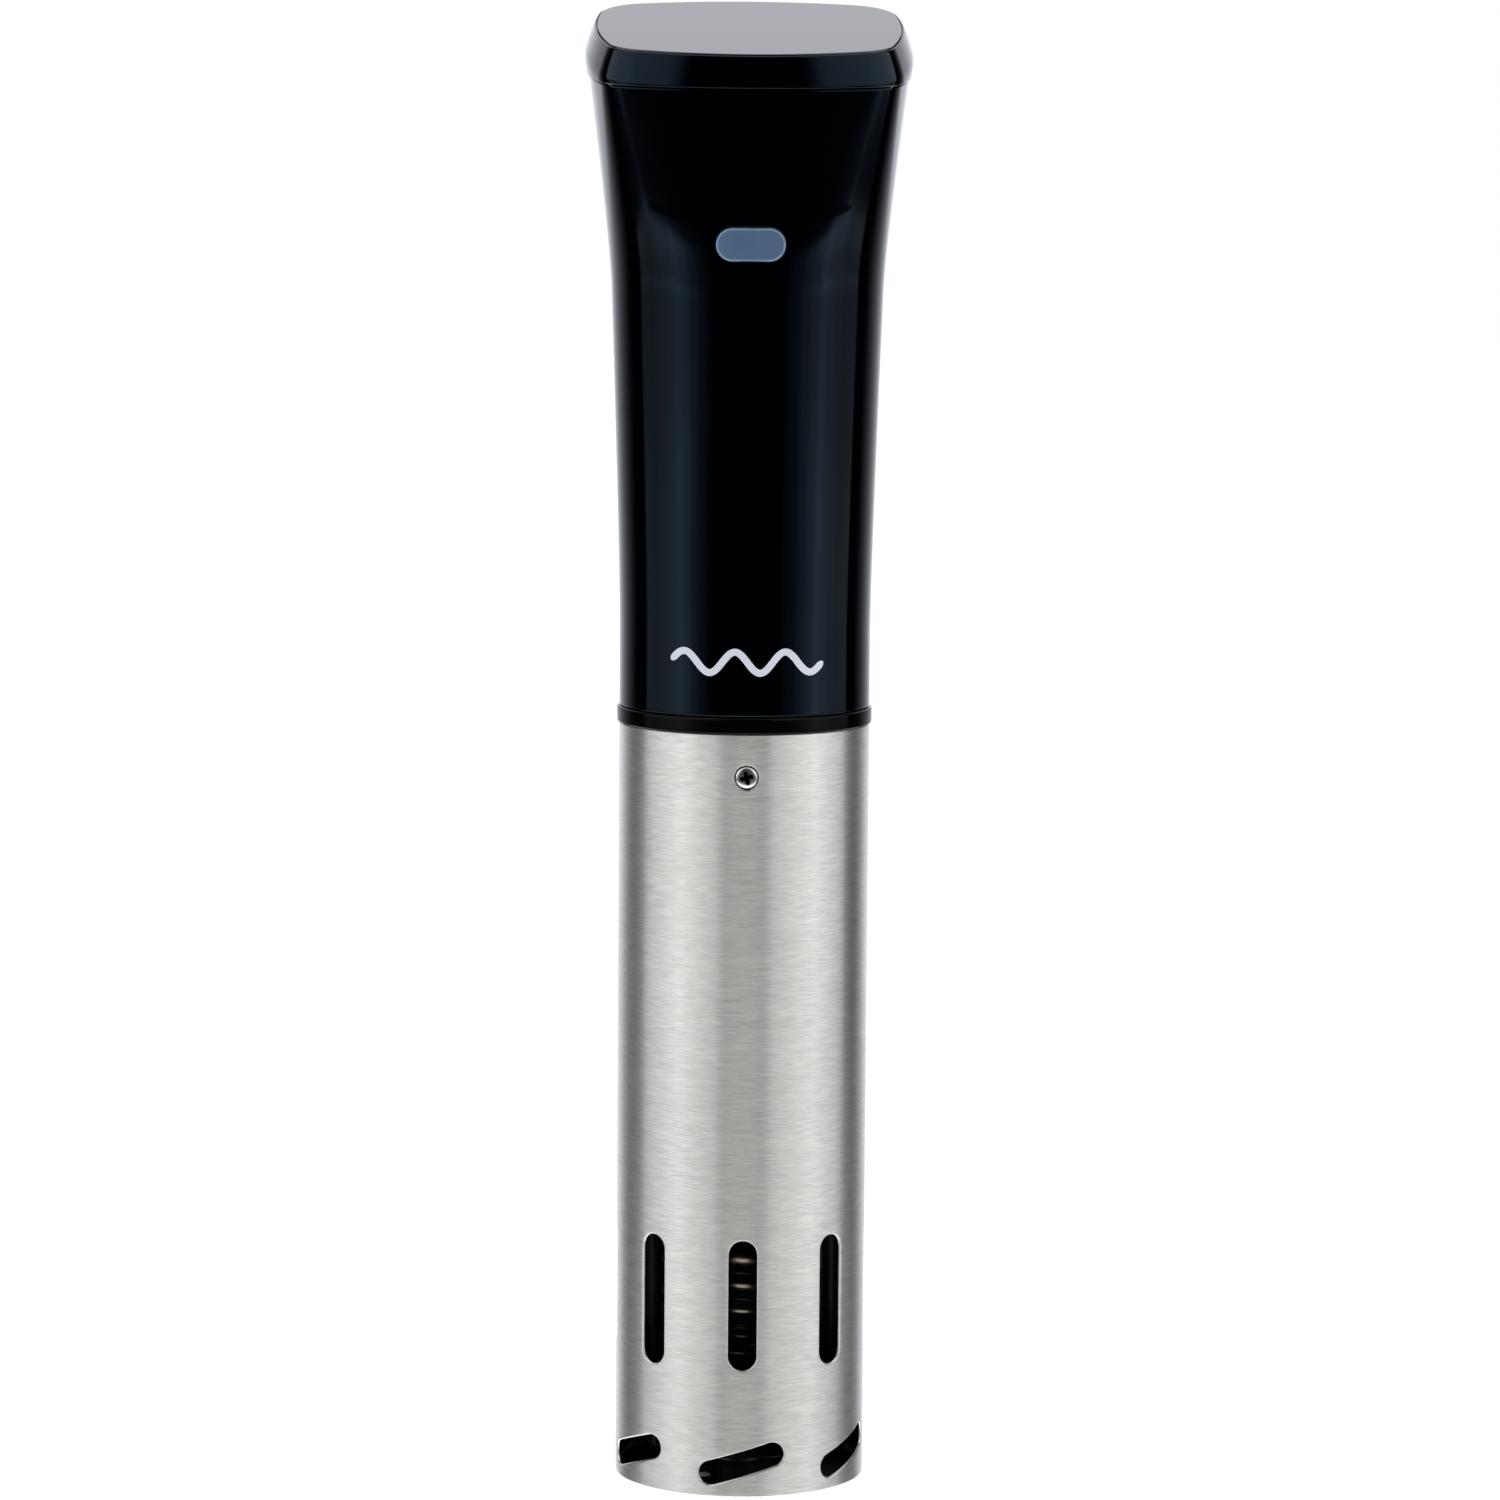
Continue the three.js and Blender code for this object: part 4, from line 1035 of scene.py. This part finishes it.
def corner_trim(side, end, sign, half=15, corner=7):
    """Rounds one corner of the lever, seen from behind. sign is 1 for the top end and -1 for the bottom."""
    skin = Skin()
    loop = []
    for a in spread(0, math.pi / 2, 12):
        loop.append((half - corner + corner * math.sin(a), end - sign * (corner - corner * math.cos(a))))
    loop += [(half + 2, end - sign * corner), (half + 2, end + sign * 4), (half - corner, end + sign * 4)]
    skin.solid([[(side * x, y, z) for x, z in loop] for y in (30, 80)])
    return skin.obj("cutter")


def lever_mesh():
    """The lever: outline from the jaw up its inside to the thumb rest and down its outside."""
    seat = 39.6  # where its pad sits
    points = [(seat, 167), (seat, 192), (seat + 1.4, 197)]
    points += by_pivot([(6.4, -23), (7.4, -19), (7.4, 7), (9.6, 21), (14, 41), (15.6, 46.6)])
    points += by_pivot([(18.2, 46.2), (17.6, 40), (13, 20), (11, 6), (11, -20), (9.6, -25)])
    points += [(seat + 5, 195), (seat + 3.4, 190), (seat + 3.6, 166), (seat + 2.2, 165)]
    radii = [1.5, 8, 8, 5, 5, 20, 20, 10, 1.2, 1.2, 10, 20, 20, 5, 5, 8, 8, 4, 1.2]
    obj = slab("lever_fine", rounded(points, radii, 7), 30)
    ends = ((165, -1), (287, 1))
    combine(obj, [corner_trim(side, *end) for side in (-1, 1) for end in ends], "DIFFERENCE")
    bevel(obj, 0.6)
    web = by_pivot([(8.6, -18), (8.6, 16), (0, 5.2), (-5.2, 4), (-5.2, -4), (0, -5.2)])
    web = rounded(web, [0, 0, 5, 4, 4, 5], 8)
    additions = [bevel(slab("web", web, 2.6, side * 7.9), 0.4) for side in (-1, 1)]
    for z in (263.5 + 4 * k for k in range(5)):
        y = PIVOT_Y + 13 + (z - 260) * 0.225 - 0.15
        additions.append(sweep([(x, y, z) for x in spread(-9.5, 9.5, 12)], 0.95, 16).obj("rib"))
    combine(obj, additions, "UNION")
    return combine(obj, [pin_bore()], "DIFFERENCE")


shown(lever_mesh(), "clip_lever", smooth=32)


def pad_mesh(name, back, face, low, high, grooves=5):
    """A rubber pad with grooves across the face that grips."""
    sunk = face - math.copysign(0.6, face - back)
    out = [(back, low), (back, high), (face, high)]
    pitch = (high - low) / (grooves + 1)
    for z in (low + pitch * k for k in range(grooves, 0, -1)):
        out += [(face, z + 0.7), (sunk, z + 0.35), (sunk, z - 0.35), (face, z - 0.7)]
    return bevel(slab(name, [*out, (face, low)], 22), 0.25, 2)


shown(pad_mesh("jaw_pad_fine", 34.55, 36.5, 171, 194), "jaw_pad", smooth=32)
shown(pad_mesh("lever_pad_fine", 39.55, 37.3, 171, 190), "lever_pad", smooth=32)

pin_profile = [(0, -13.2), (1.5, -13.2), (PIN_R, -12.9), (PIN_R, 12.8), (2.8, 12.8), (2.8, 13.6), (2.4, 14)]
pin_profile += [(0, 14)]
shown(turned("pin_fine", pin_profile, 48, PIVOT), "clip_pin", smooth=30)


def spring_path(half, wire_r=3.1, turns=4.5):
    """From the leg on the bracket round the pin, 2 * half along it, to the leg on the lever."""
    count = int(turns * 40)
    knots = [(-half - 0.4, -7.4, 17), (-half - 0.3, -5.4, 9)]
    for share in (i / count for i in range(count + 1)):
        angle = math.pi + share * turns * TURN
        knots.append((-half + 2 * half * share, wire_r * math.cos(angle), -wire_r * math.sin(angle)))
    knots += [(half + 0.3, 4.6, 8), (half + 0.4, 6.2, 15)]
    return [Vector((x, PIVOT_Y + y, PIVOT_Z + z)) for x, y, z in knots]


SPRING_HALF = 5.2
spring = sweep(spring_path(SPRING_HALF), 0.6, 14)
coil_ends = [tuple(Vector((x, PIVOT_Y, PIVOT_Z)) * MM) for x in (-SPRING_HALF, SPRING_HALF)]
shown(spring.obj("spring_fine"), "clip_spring", smooth=60, twist=("housing", "clip", *coil_ends))

# ---------- Studio ----------


def ramped(net, value, stops):
    """A smooth chain of (position, amount) stops over a value from 0 to 1."""
    node = net.new("ShaderNodeValToRGB", {"Fac": value})
    node.color_ramp.interpolation = "EASE"
    marks = node.color_ramp.elements
    while len(marks) < len(stops):
        marks.new(0.5)
    for mark, (position, amount) in zip(marks, stops):
        mark.position = position
        mark.color = (amount, amount, amount, 1)
    return node.outputs["Color"]


def softbox(name, middle, lower, across, distance=1.5, high=0.35, strength=2.2):
    """A flat upright light square to one direction, which the camera doesn't see.

    lower is its lower edge, as directions in degrees from the front with their heights. across gives its glow
    along the width, as UPWARDS does along the height.
    """
    out = Vector(polar(math.radians(middle), 1, 0))
    along = Vector(polar(math.radians(middle) + math.pi / 2, 1, 0))
    edge = [(math.tan(math.radians(angle - middle)) * distance, low) for angle, low in lower]
    near, far = edge[0][0], edge[-1][0]
    corners = [*edge, (far, high), (near, high)]
    mesh = bpy.data.meshes.new(name)
    points = [out * distance + along * u + Vector((0, 0, z)) for u, z in corners]
    mesh.from_pydata(points, [], [range(len(corners))])
    layer = mesh.uv_layers.new(name="glow")
    for loop, (u, z) in zip(layer.data, corners):
        loop.uv = ((u - near) / (far - near), 1 if z == high else 0)
    made = bpy.data.materials.new(name)
    net = Net(made)
    net.nodes.clear()
    u, v, _ = net.coordinates("UV")
    level = net.product(ramped(net, u, across), ramped(net, v, UPWARDS), strength)
    glow = net.new("ShaderNodeEmission", {"Color": (0.95, 0.98, 1), "Strength": level})
    net.new("ShaderNodeOutputMaterial", {"Surface": glow.outputs[0]})
    mesh.materials.append(made)
    obj = loose(name, mesh)
    obj.visible_camera = False
    obj.visible_shadow = False


# glow of the softboxes, as (place along a side, amount)
UPWARDS = [
    (0.008, 0), (0.03, 0.76), (0.09, 0.62), (0.16, 0.46), (0.268, 0.44), (0.345, 0.5), (0.393, 0.57),
    (0.446, 0.6), (0.5, 0.54), (0.55, 0.46), (0.66, 0.42), (0.857, 0.8), (1, 0.9),
]
RIGHT = [
    (0.03, 0), (0.081, 0.06), (0.265, 0.17), (0.384, 0.38), (0.491, 0.66), (0.561, 1.05), (0.634, 0.76),
    (0.701, 0.56), (0.767, 0.43), (0.885, 0.34), (0.902, 0),
]
LEFT = [
    (0.045, 0), (0.065, 0.32), (0.162, 0.36), (0.249, 0.52), (0.34, 0.72), (0.42, 1), (0.5, 0.76),
    (0.593, 0.38), (0.727, 0.17), (0.86, 0.05), (0.97, 0),
]
softbox("light_right", 88, [(30, -0.215), (76, -0.21), (116, -0.09)], RIGHT)
softbox("light_left", -88, [(-108, -0.1), (-84, -0.21), (-29, -0.285)], LEFT)

WHITE, SKY, WARM = (1, 1, 1), (0.93, 0.952, 1), (1, 0.9, 0.82)
world = bpy.data.worlds.new("studio")
bpy.context.scene.world = world
net = Net(world)
net.nodes.clear()
x, y, z = net.coordinates("Generated")
height = net.product(net.math("ARCSINE", z), 180 / math.pi)  # degrees above the horizon
around = net.math("ARCTAN2", x, net.product(y, -1))
side = net.math("ABSOLUTE", net.product(around, 180 / math.pi))  # degrees from the front, either way


def eased(value, start, end, low=0, high=1):
    return net.spanned(value, low, high, start, end, "SMOOTHSTEP")


def background(color, strength):
    return net.new("ShaderNodeBackground", {"Color": color, "Strength": strength}).outputs[0]


from_floor = net.product(eased(height, -30, -22, 1, 0), eased(side, 92, 112, 1.65, 2.1))
inner = net.product(eased(side, 20, 29), eased(side, 24, 54, 0.55, 1))
beside = net.product(eased(height, -2, 4), inner, eased(side, 103, 109, 1, 0), 1.4)
above = net.product(eased(height, 58, 74), 1.4)
back_heights = net.product(eased(height, -24, -16), eased(height, 40, 60, 1, 0))
behind = net.product(eased(side, 116, 172), back_heights, 1.16)
in_front = net.product(eased(side, 13, 20, 1, 0), eased(height, -34, -26, 1, 0), 0.4)
lit = background(WHITE, net.math("ADD", net.math("MAXIMUM", beside, above), from_floor))
for color, strength in ((SKY, behind), (WARM, in_front)):
    lit = net.new("ShaderNodeAddShader", {0: lit, 1: background(color, strength)}).outputs[0]
rays = net.nodes.new("ShaderNodeLightPath")
shares = {0: rays.outputs["Is Camera Ray"], 1: lit, 2: background(WHITE, 1)}
net.new("ShaderNodeOutputWorld", {"Surface": net.new("ShaderNodeMixShader", shares).outputs[0]})

paper, net, shader = new_material("floor_paper")
net.feed(shader, {
    "Base Color": (0.5, 0.5, 0.5),
    "Roughness": 0.9,
    "Specular IOR Level": 0,
    "Emission Color": WHITE,
    "Emission Strength": 0.72,
})
floor_mesh = bpy.data.meshes.new("floor")
floor_mesh.from_pydata([(-6, -6, 0), (6, -6, 0), (6, 6, 0), (-6, 6, 0)], [], [(0, 1, 2, 3)])
floor_mesh.materials.append(paper)
floor = loose("floor", floor_mesh)
floor.visible_glossy = False
floor.visible_diffuse = False
floor.visible_shadow = False

bpy.context.scene.view_settings.view_transform = "Standard"

# ---------- Camera ----------

YAW = math.radians(1.3)  # the object's front is turned this far to the viewer's right
PITCH, ROLL = 0.11665, 0.0078
facing = Matrix.Rotation(-YAW, 3, "Z")
right, up = Vector((1, 0, 0)), Vector((0, math.sin(PITCH), math.cos(PITCH)))
ahead = facing @ Vector((0, math.cos(PITCH), -math.sin(PITCH)))
across = facing @ (right * math.cos(ROLL) + up * math.sin(ROLL))
upward = facing @ (up * math.cos(ROLL) - right * math.sin(ROLL))
camera_data = bpy.data.cameras.new("camera")
camera_data.sensor_width = 36
camera_data.lens = 138.89
camera_data.clip_start, camera_data.clip_end = 0.05, 50
camera = loose("camera", camera_data)
spot = facing @ Vector((0.00147, -1.42606, 0.34892))
camera.matrix_world = Matrix.Translation(spot) @ Matrix((across, upward, -ahead)).transposed().to_4x4()
bpy.context.scene.camera = camera
